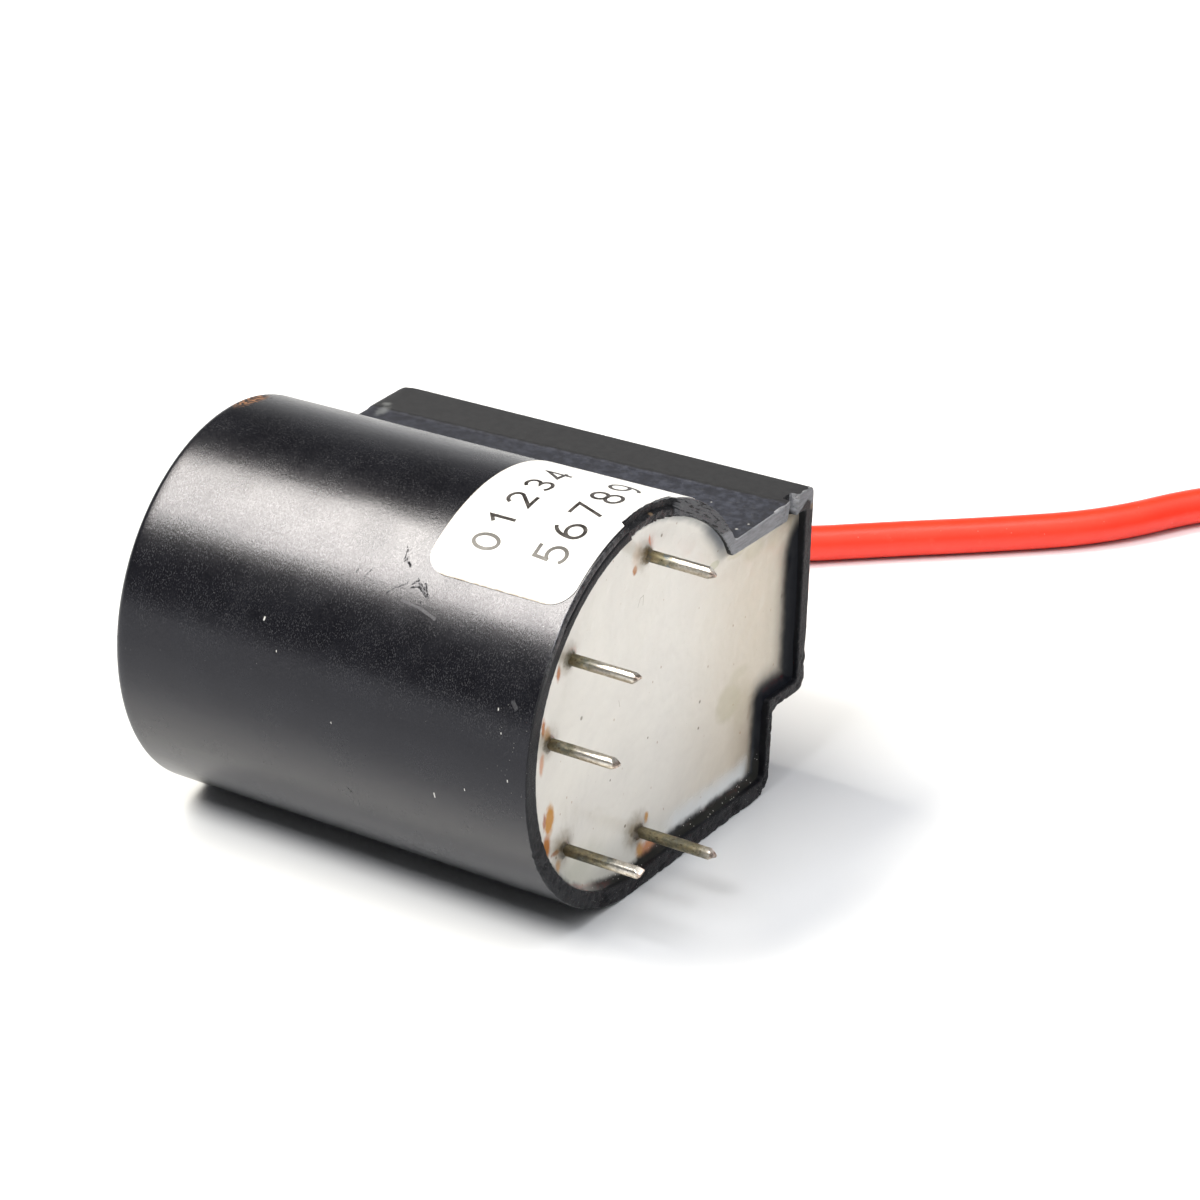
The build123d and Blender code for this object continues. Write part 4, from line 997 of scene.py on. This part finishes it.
def build_pin(k, y, z, tip):
    """Round wire with an upset band in the flange, nipped off to a blunt wedge at its end."""
    m = 60
    ang = 2 * pi * np.arange(m) / m
    roll = radians((62, 78, 85, 110, 70)[k])
    n = np.array([cos(roll), sin(roll)])
    t = np.array([-n[1], n[0]])
    circle = np.c_[np.cos(ang), np.sin(ang)]
    rings = []

    def ring(x, r, half=None, shrink=1.0, shift=0.0):
        c = circle * r
        if half is not None:
            a, b = c @ n, (c @ t) * shrink
            a = np.clip(a, -half + shift, half + shift)
            c = a[:, None] * n + b[:, None] * t
        wob = 1 - 0.012 * (1 + vnoise(np.c_[np.full(m, x * 1.2), circle * 1.5], 81 + k))
        rings.append(np.c_[np.full(m, x), c[:, 0] * wob + y, c[:, 1] * wob + z])

    for r in (0.05, 0.35, 0.56):
        ring(-8.0, r)
    for x in np.linspace(-7.9, -3.25, 14):
        ring(x, PIN_R)
    for x, r in ((-3.2, 0.66), (-3.1, 0.81), (-2.2, 0.82), (-1.3, 0.81), (-1.16, 0.66)):
        ring(x, r)
    stop = tip - 0.62
    for x in np.linspace(-1.1, stop, int((stop + 1.1) / 0.16)):
        ring(x, PIN_R)
    nip = 9
    for i in range(1, nip + 1):
        u = i / nip
        half = PIN_R - (PIN_R - 0.10) * u
        shift = 0.12 * u * (1 if k % 2 else -1)
        ring(stop + 0.62 * u - 0.05 * sin(pi * u), PIN_R, max(half, 0.09), 1 - 0.24 * u * u, shift)
    ring(tip - 0.004, 0.42, 0.05, 0.72, 0.12 * (1 if k % 2 else -1))
    faces = tube_faces(len(rings), m)
    faces.append(tuple(range(m)))
    last = (len(rings) - 1) * m
    faces.append(tuple(last + i for i in range(m)))
    name = f"pin_{k + 1}_wire"
    mesh = closed_mesh(name, world(np.vstack(rings)), faces)
    obj = new_object(name, mesh, "tinned_pin", [pin_material(k, y, z, tip)], 38)
    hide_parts(f"terminal_pin_{k + 1}")
    return obj


for k, (y, z, tip) in enumerate(pins):
    build_pin(k, y, z, tip)


# ------------------------------------------------------------------ label
LABEL_A, LABEL_B, LABEL_X0, LABEL_X1 = 60.0, 132.0, -16.3, -0.4


def barrel(x, angle, lift):
    """A point above the barrel's surface: x in mm, angle in degrees."""
    r = lerp(20.0, 19.0, -np.asarray(x, float) / LENGTH) + lift
    a = np.radians(angle)
    return np.stack([np.broadcast_to(x, np.shape(a)) + 0.0 * r, r * np.cos(a), AXIS_Z + r * np.sin(a)], -1)


def label_limit(angle):
    """How far the label comes towards the rim at an angle: short of the broken stretch."""
    cut = smooth(73.4, 74.6, angle) * (1 - smooth(99.2, 100.6, angle))
    ragged = 0.05 * vnoise(np.c_[np.asarray(angle) * 1.1, np.zeros((len(angle), 2))], 91)
    return LABEL_X1 - 0.55 * cut + ragged * cut


def label_material():
    g = Graph("label_paper")
    angle = g.mul(g.math("ARCTAN2", g.sub(g.z, AXIS_Z), g.y), 180 / pi)
    fibre = g.noise(g.p, 5.0, 4.0, 0.7)
    base = g.mix(g.band(fibre, 0.3, 0.7), (0.70, 0.70, 0.695), (0.65, 0.65, 0.645))
    grime = g.noise(g.p, 0.35, 3.0, 0.6)
    base = g.mix(g.band(grime, 0.55, 0.8, 0.0, 0.35), base, (0.58, 0.57, 0.545))
    speck = g.mul(g.band(g.cells(g.p, 0.9), 0.06, 0.02), g.band(g.noise(g.p, 0.7, 1.0), 0.52, 0.6))
    base = g.mix(g.mul(speck, 0.5), base, (0.35, 0.33, 0.30))
    edge = g.maxi(g.band(angle, 131.35, 131.9), g.mul(g.band(g.x, -16.1, -16.27), 0.6))
    base = g.mix(g.mul(edge, g.band(g.noise(g.p, 1.6, 3.0), 0.3, 0.6, 0.35, 0.9)), base, (0.30, 0.24, 0.18))
    base = g.mix(g.mul(g.spot((-2.2, -12.6, 35.2), 3.4, 0.9), 0.25), base, (0.68, 0.63, 0.56))
    rough = g.band(fibre, 0.3, 0.7, 0.42, 0.55)
    return g.finish(
        Base_Color=base, Roughness=rough, Normal=g.bump(fibre, 0.12, 0.00005), IOR=1.48,
        Specular_IOR_Level=0.35,
    )


def build_label():
    rows, cols = 90, 150
    v = np.linspace(-1, 1, cols)
    mid, half = (LABEL_A + LABEL_B) / 2, (LABEL_B - LABEL_A) / 2
    u = (1 - np.cos(np.linspace(0, pi, rows))) / 2
    corner_r = 2.5
    ang = mid + half * np.sign(v) * (1 - (1 - np.abs(v)) ** 1.25)
    # distance along the barrel from each side edge, to round the corners
    side = (half - np.abs(ang - mid)) * pi / 180 * 19.8
    bite = np.where(side < corner_r, corner_r - np.sqrt(np.maximum(corner_r**2 - (corner_r - side) ** 2, 0)), 0)
    x0, x1 = LABEL_X0 + bite, label_limit(ang) - np.where(ang > mid, bite, bite * 0.25)
    X = x0[None] + (x1 - x0)[None] * u[:, None]
    A = np.broadcast_to(ang, X.shape)
    lift = 0.095 + 0.012 * vnoise(np.stack([X * 0.5, A * 0.15, 0 * X], -1), 95)
    edge = np.minimum(np.minimum(X - x0, x1 - X), side[None])
    lift = lift - 0.02 * np.exp(-np.maximum(edge, 0) / 0.08)
    r = lerp(20.0, 19.0, -X / LENGTH)
    a = np.radians(A)

    def layer(h):
        return np.stack([X, (r + h) * np.cos(a), AXIS_Z + (r + h) * np.sin(a)], -1).reshape(-1, 3)

    top, under = layer(lift), layer(0 * lift - 0.03)
    n = rows * cols
    at = lambda i, j: i * cols + j
    faces = []
    for i in range(rows - 1):
        for j in range(cols - 1):
            q = (at(i, j), at(i, j + 1), at(i + 1, j + 1), at(i + 1, j))
            faces += [q, tuple(n + w for w in reversed(q))]
    rim = [at(0, j) for j in range(cols)] + [at(i, cols - 1) for i in range(1, rows)]
    rim += [at(rows - 1, j) for j in range(cols - 2, -1, -1)] + [at(i, 0) for i in range(rows - 2, 0, -1)]
    faces += [(a, b, n + b, n + a) for a, b in zip(rim, rim[1:] + rim[:1])]
    mesh = closed_mesh("label_sticker", world(np.vstack([top, under])), faces)
    obj = new_object("label_sticker", mesh, "label_paper", [label_material()], 50)
    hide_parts("label")
    return obj


build_label()


def arc_points(cx, cy, rx, ry, a, b, n=14):
    return [(cx + rx * cos(radians(lerp(a, b, k / n))), cy + ry * sin(radians(lerp(a, b, k / n)))) for k in range(n + 1)]


# Plain counting numbers, drawn with a thin pen: x across from 0 to 0.6, y up from 0 to 1.
GLYPHS = {
    "0": [arc_points(0.3, 0.5, 0.28, 0.5, 90, 450, 30)],
    "1": [[(0.08, 0.78), (0.32, 1.0), (0.32, 0.0)]],
    "2": [arc_points(0.3, 0.72, 0.27, 0.28, 165, -35, 16) + [(0.03, 0.0), (0.6, 0.0)]],
    "3": [arc_points(0.27, 0.745, 0.25, 0.255, 150, -80, 16) + arc_points(0.27, 0.25, 0.29, 0.25, 80, -150, 18)],
    "4": [[(0.44, 0.0), (0.44, 1.0), (0.0, 0.3), (0.6, 0.3)]],
    "5": [[(0.54, 1.0), (0.1, 1.0), (0.06, 0.55)] + arc_points(0.28, 0.32, 0.29, 0.32, 135, -145, 20)],
    "6": [arc_points(0.3, 0.3, 0.28, 0.3, 100, 460, 26), arc_points(0.42, 0.3, 0.40, 0.70, 180, 98, 12)],
    "7": [[(0.02, 1.0), (0.58, 1.0), (0.2, 0.0)]],
    "8": [arc_points(0.3, 0.75, 0.23, 0.25, -90, 270, 24), arc_points(0.3, 0.26, 0.28, 0.26, 90, 450, 26)],
    "9": [arc_points(0.3, 0.7, 0.28, 0.3, -80, 280, 26), arc_points(0.18, 0.7, 0.40, 0.70, 0, -82, 12)],
}


def build_print():
    """Two lines of plain numbers, printed round the barrel: raised ink strokes."""
    verts, faces = [], []
    pen = 0.19

    def stroke(line):
        pts = np.array(line, float)
        fine = [pts[0]]
        for a, b in zip(pts, pts[1:]):
            steps = max(1, ceil(np.linalg.norm((b - a) * (1, 1)) / 0.35))
            fine += [a + (b - a) * s / steps for s in range(1, steps + 1)]
        pts = np.array(fine)
        closed = np.linalg.norm(pts[0] - pts[-1]) < 1e-3
        if closed:
            pts = pts[:-1]
        n = len(pts)
        prev, nxt = np.roll(pts, 1, 0), np.roll(pts, -1, 0)
        if not closed:
            prev[0], nxt[-1] = pts[0] * 2 - pts[1], pts[-1] * 2 - pts[-2]
        d1, d2 = pts - prev, nxt - pts
        d1, d2 = d1 / np.linalg.norm(d1, axis=1)[:, None], d2 / np.linalg.norm(d2, axis=1)[:, None]
        n1 = np.c_[-d1[:, 1], d1[:, 0]]
        m = n1 + np.c_[-d2[:, 1], d2[:, 0]]
        m = m / np.linalg.norm(m, axis=1)[:, None]
        m = m / np.maximum((m * n1).sum(1), 0.35)[:, None]
        start = len(verts)
        for p, w in zip(pts, m):
            for side, h in ((-1, 0.085), (1, 0.085), (1, 0.113), (-1, 0.113)):
                q = p + w * pen * side
                verts.append(barrel(q[0], degrees(q[1] / 19.8), h))
        for i in range(n if closed else n - 1):
            a, b = start + 4 * i, start + 4 * ((i + 1) % n)
            faces.extend((a + s, a + (s + 1) % 4, b + (s + 1) % 4, b + s) for s in range(4))
        if not closed:
            faces.append(tuple(start + s for s in range(4)))
            faces.append(tuple(start + 4 * (n - 1) + s for s in (3, 2, 1, 0)))

    def write(text, foot, height, first, pitch, width):
        """Upright towards the closed end, read over the top of the barrel."""
        for i, ch in enumerate(text):
            at = radians(first) * 19.8 - i * pitch
            for line in GLYPHS.get(ch, []):
                stroke([(foot - py * height, at - px * width) for px, py in line])

    write("01234", -10.3, 2.6, 121.5, 3.15, 3.0)
    write("56789", -3.2, 3.1, 120.0, 3.25, 3.3)
    g = Graph("label_ink")
    wear = g.noise(g.p, 1.1, 3.0, 0.6)
    base = g.mix(g.band(wear, 0.4, 0.75), (0.017, 0.014, 0.013), (0.075, 0.068, 0.066))
    angle = g.mul(g.math("ARCTAN2", g.sub(g.z, AXIS_Z), g.y), 180 / pi)
    base = g.mix(g.band(angle, 108, 122, 0.0, 0.6), base, (0.13, 0.125, 0.12))
    ink = g.finish(Base_Color=base, Roughness=g.band(wear, 0.3, 0.7, 0.35, 0.5), IOR=1.45)
    mesh = closed_mesh("label_numbers", world(np.array(verts)), faces)
    return new_object("label_numbers", mesh, "label_paper", [ink], 30)


build_print()


# ------------------------------------------------------------------ lead
COIL_C, COIL_R, COIL_START = (38.6, 103.2), 20.5, 95.0
Z0 = LEAD_D / 2
heading = radians(COIL_START - 90)
meet = (COIL_C[0] + COIL_R * cos(radians(COIL_START)), COIL_C[1] + COIL_R * sin(radians(COIL_START)))
ROUTE = [
    (-39.5, 33.9, 18.0), (-39.5, 42.4, 18.0), (-39.0, 51.0, 15.0), (-37.0, 59.4, 8.9),
    (-32.6, 67.7, 3.9), (-26.0, 74.8, Z0), (-18.2, 82.3, Z0), (-9.2, 90.4, Z0),
    (0.2, 99.8, Z0), (6.4, 112.6, Z0), (14.2, 119.6, Z0),
    (meet[0] - 11.3 * cos(heading), meet[1] - 11.3 * sin(heading), Z0), (*meet, Z0),
]
c1 = np.array(COIL_C)
c2 = c1 - np.array([cos(radians(COIL_START)), sin(radians(COIL_START))]) * LEAD_D / 2
turns = []  # the coil's points, 16 a turn, spaced round its two centres
STEP = 22.5
for half, (centre, r) in enumerate(((c1, COIL_R), (c2, COIL_R - LEAD_D / 2), (c1, COIL_R - LEAD_D))):
    start = COIL_START - 180 * half
    for k in range(8):
        a = radians(start - STEP * (k + 0.5))
        rr = r / cos(radians(STEP / 2)) * 0.9985
        turns.append((centre[0] + rr * cos(a), centre[1] + rr * sin(a), Z0))
a = radians(COIL_START - 540)
stop = (c1[0] + (COIL_R - LEAD_D) * cos(a), c1[1] + (COIL_R - LEAD_D) * sin(a), Z0)
line = bpy.data.curves.new("hv_lead_insulation", "CURVE")
line.dimensions = "3D"
spline = line.splines.new("NURBS")
lead_points = world(ROUTE[:-1] + turns + [stop])
spline.points.add(len(lead_points) - 1)
for p, co in zip(spline.points, lead_points):
    p.co = (*co, 1.0)
spline.order_u = 3
spline.use_endpoint_u = True
spline.resolution_u = 10
line.bevel_depth = LEAD_D / 2 * MM
line.bevel_resolution = 10
line.use_fill_caps = True


def lead_material():
    g = Graph("lead_insulation")
    cloud = g.noise(g.p, 0.25, 2.0)
    base = g.mix(g.band(cloud, 0.3, 0.7), (0.91, 0.041, 0.015), (0.87, 0.036, 0.013))
    dust = g.mul(g.band(g.cells(g.p, 1.3), 0.10, 0.03), g.band(g.noise(g.p, 0.6, 1.0), 0.5, 0.6))
    base = g.mix(g.mul(dust, 0.6), base, (0.80, 0.42, 0.36))
    smear = g.band(g.noise(g.p, 0.8, 4.0, 0.65), 0.55, 0.8)
    base = g.mix(g.mul(smear, 0.14), base, (0.85, 0.16, 0.11))
    rough = g.band(smear, 0, 1, 0.36, 0.5)
    h = g.add(g.mul(g.noise(g.p, 1.2, 2.0), 1.0), g.mul(g.noise(g.p, 7.0, 2.0), 0.2))
    return g.finish(
        Base_Color=base, Roughness=rough, Normal=g.bump(h, 0.25, 0.0001), IOR=1.45,
        Coat_Weight=0.12, Coat_Roughness=0.4,
    )


lead = bpy.data.objects.new("hv_lead_insulation", line)
scene.collection.objects.link(lead)
line.materials.append(lead_material())
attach(lead, "root")
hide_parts("hv_lead", "hv_lead_coil")


def build_strands():
    """The stripped end: fine tinned wires twisted together, on the coil's own arc."""
    r0 = COIL_R - LEAD_D
    length, strand, lay = 6.0, 0.205, 5.0
    verts, faces = [], []
    m, steps = 12, 44
    places = [(0.0, 0.0)] + [(0.43, 60.0 * i) for i in range(6)]
    for j, (off, phase) in enumerate(places):
        start = len(verts)
        extra = -0.5 if j == 0 else (0.25, -0.1, 0.1, -0.3, 0.0, -0.15)[j - 1]
        for i in range(steps + 1):
            s = -1.5 + (length + 1.5 + extra) * i / steps
            bearing = radians(COIL_START - 540) - s / r0
            centre = c1 + r0 * np.array([cos(bearing), sin(bearing)])
            out = np.array([cos(bearing), sin(bearing), 0.0])
            lift = np.array([0.0, 0.0, 1.0])
            a = radians(phase) + 2 * pi * s / lay
            splay = 1 + 0.12 * max(s - 4.5, 0)
            mid = np.array([*centre, Z0]) + (out * cos(a) + lift * sin(a)) * off * splay
            taper = 1.0 if i < steps else 0.6
            for k in range(m):
                b = 2 * pi * k / m
                verts.append(mid + (out * cos(b) + lift * sin(b)) * strand * taper)
        faces.extend(tube_faces(steps + 1, m, start))
        faces.append(tuple(start + k for k in range(m)))
        faces.append(tuple(start + steps * m + k for k in range(m)))
    g = Graph("tinned_wire")
    n1 = g.noise(g.p, 2.0, 3.0)
    base = g.mix(g.band(n1, 0.35, 0.65), (0.78, 0.76, 0.72), (0.62, 0.58, 0.52))
    mat = g.finish(
        Base_Color=base, Metallic=1.0, Roughness=g.band(n1, 0.3, 0.7, 0.25, 0.42),
        Normal=g.bump(g.noise(g.p, 6.0, 3.0), 0.2, 0.00005),
    )
    mesh = closed_mesh("hv_lead_strands", world(np.array(verts)), faces)
    obj = new_object("hv_lead_strands", mesh, "tinned_wire", [mat], 60)
    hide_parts("hv_lead_end")
    return obj


strands = build_strands()


# ------------------------------------------------------------------ the sealed pieces
def plain(name, dark, light, scale, metallic=0.0, rough=(0.4, 0.55), bump=0.2, stretch=(1, 1, 1)):
    g = Graph(name)
    n = g.noise(g.vec("MULTIPLY", g.p, stretch), scale, 3.0, 0.6)
    return g.finish(
        Base_Color=g.mix(g.band(n, 0.3, 0.7), dark, light), Metallic=metallic,
        Roughness=g.band(n, 0.3, 0.7, *rough), Normal=g.bump(n, bump, 0.00008),
    )


SLOTS = {
    "epoxy_resin": plain("potting_body", linear(214, 208, 196), linear(228, 223, 213), 0.4, rough=(0.25, 0.35)),
    "ferrite": plain("ferrite", (0.018, 0.018, 0.019), (0.035, 0.034, 0.034), 6.0, rough=(0.55, 0.75)),
    "bobbin_plastic": plain("bobbin_plastic", (0.50, 0.43, 0.30), (0.60, 0.53, 0.40), 0.8),
    "enamelled_wire": plain("enamelled_wire", (0.42, 0.13, 0.045), (0.62, 0.22, 0.08), 3.0, 0.8, (0.25, 0.4), 0.6, (3, 0.2, 0.2)),
    "polyester_tape": plain("polyester_tape", (0.62, 0.46, 0.05), (0.74, 0.58, 0.09), 1.0, rough=(0.2, 0.3)),
    "diode_epoxy": plain("diode_epoxy", (0.03, 0.03, 0.032), (0.05, 0.05, 0.05), 3.0),
    "tinned_wire": plain("tinned_leads", (0.62, 0.60, 0.56), (0.78, 0.76, 0.72), 3.0, 1.0, (0.25, 0.4)),
    "solder": plain("solder", (0.55, 0.55, 0.54), (0.72, 0.71, 0.69), 2.0, 1.0, (0.2, 0.35)),
    "lead_insulation": line.materials[0],
}
KINDS = {
    "potting_compound": "epoxy_resin", "ferrite_core": "ferrite", "primary_bobbin": "bobbin_plastic",
    "secondary_bobbin": "bobbin_plastic", "primary_winding": "enamelled_wire",
    "feedback_winding": "enamelled_wire", "secondary_winding": "enamelled_wire",
    "primary_tape": "polyester_tape", "rectifier_body": "diode_epoxy",
    "rectifier_anode_lead": "tinned_wire", "rectifier_cathode_lead": "tinned_wire",
    "hv_lead_conductor": "tinned_wire", "hv_lead_inner": "lead_insulation", "solder_joints": "solder",
}
for node, kind in KINDS.items():
    mesh = frame["nodes"][node].data
    if not mesh.materials:
        mesh.materials.append(None)
    for i in range(len(mesh.materials)):
        mesh.materials[i] = SLOTS[kind]


# ------------------------------------------------------------------ floor and light
def floor_material():
    g = Graph("studio_floor")
    n = g.noise(g.p, 0.02, 2.0)
    return g.finish(
        Base_Color=g.mix(g.band(n, 0.3, 0.7), (0.77, 0.785, 0.81), (0.76, 0.775, 0.80)), Roughness=0.22, IOR=1.5
    )


bm = bmesh.new()
bmesh.ops.create_grid(bm, x_segments=4, y_segments=4, size=20.0)
mesh = bpy.data.meshes.new("studio_floor")
bm.to_mesh(mesh)
bm.free()
floor = new_object("studio_floor", mesh, None, [floor_material()], None)


def area_light(name, direction, distance, width, height, radiance, toward=(0.0, 0.0, 0.02), colour=(1, 1, 1), along=(1, 0, 0)):
    """A rectangular soft box that faces the object; width runs along the given direction."""
    d = Vector(direction).normalized()
    light = bpy.data.lights.new(name, "AREA")
    light.shape, light.size, light.size_y = "RECTANGLE", width, height
    light.energy = radiance * pi * width * height
    light.color = colour
    obj = bpy.data.objects.new(name, light)
    scene.collection.objects.link(obj)
    x = Vector(along) - d * Vector(along).dot(d)
    x.normalize()
    y = d.cross(x)
    rot = Matrix((x, y, d)).transposed().to_4x4()
    rot.translation = Vector(toward) + d * distance
    obj.matrix_world = rot
    obj.visible_camera = False
    return obj


area_light("key", (-0.515, -0.25, 0.84), 1.7, 0.48, 1.18, 24.5, colour=(1.0, 0.945, 0.83))
area_light("front", (-0.10, -0.56, 0.82), 1.8, 0.74, 0.62, 15.5)
area_light("top", (0.25, 0.15, 0.95), 1.8, 0.5, 0.5, 5.0)
area_light("fill", (0.90, -0.25, 0.42), 1.7, 1.2, 1.2, 0.35, along=(0, 1, 0))


def build_world():
    w = bpy.data.worlds.new("studio")
    scene.world = w
    w.use_nodes = True
    t = w.node_tree
    t.nodes.clear()
    out, bg = t.nodes.new("ShaderNodeOutputWorld"), t.nodes.new("ShaderNodeBackground")
    t.links.new(bg.outputs[0], out.inputs[0])
    coord = t.nodes.new("ShaderNodeTexCoord")

    def m(op, a, b=0.0, clamp=False):
        n = t.nodes.new("ShaderNodeMath")
        n.operation, n.use_clamp = op, clamp
        for s, v in zip(n.inputs, (a, b)):
            if isinstance(v, bpy.types.NodeSocket):
                t.links.new(v, s)
            else:
                s.default_value = v
        return n.outputs[0]

    def band(v, a, b, lo=0.0, hi=1.0):
        n = t.nodes.new("ShaderNodeMapRange")
        n.interpolation_type = "SMOOTHSTEP"
        for s, val in zip(n.inputs, (v, a, b, lo, hi)):
            if isinstance(val, bpy.types.NodeSocket):
                t.links.new(val, s)
            else:
                s.default_value = val
        return n.outputs[0]

    parts = t.nodes.new("ShaderNodeSeparateXYZ")
    t.links.new(coord.outputs["Generated"], parts.inputs[0])
    x, y, z = parts.outputs
    behind = m("ADD", m("MULTIPLY", x, -0.5), m("MULTIPLY", y, 0.866))
    backdrop = m("MULTIPLY", band(behind, 0.25, 0.9), band(z, 0.62, -0.02, 0.0, 0.85))
    horizon = band(z, 0.10, 0.0, 0.0, 0.5)
    side = m("MULTIPLY", band(x, -0.1, 0.3), band(z, 0.3, 0.95, 0.12, 1.35))
    level = m("ADD", m("ADD", backdrop, side), m("ADD", horizon, 0.03))
    combine = t.nodes.new("ShaderNodeCombineColor")
    for s in combine.inputs:
        t.links.new(level, s)
    t.links.new(combine.outputs[0], bg.inputs["Color"])
    bg.inputs["Strength"].default_value = 1.0


build_world()
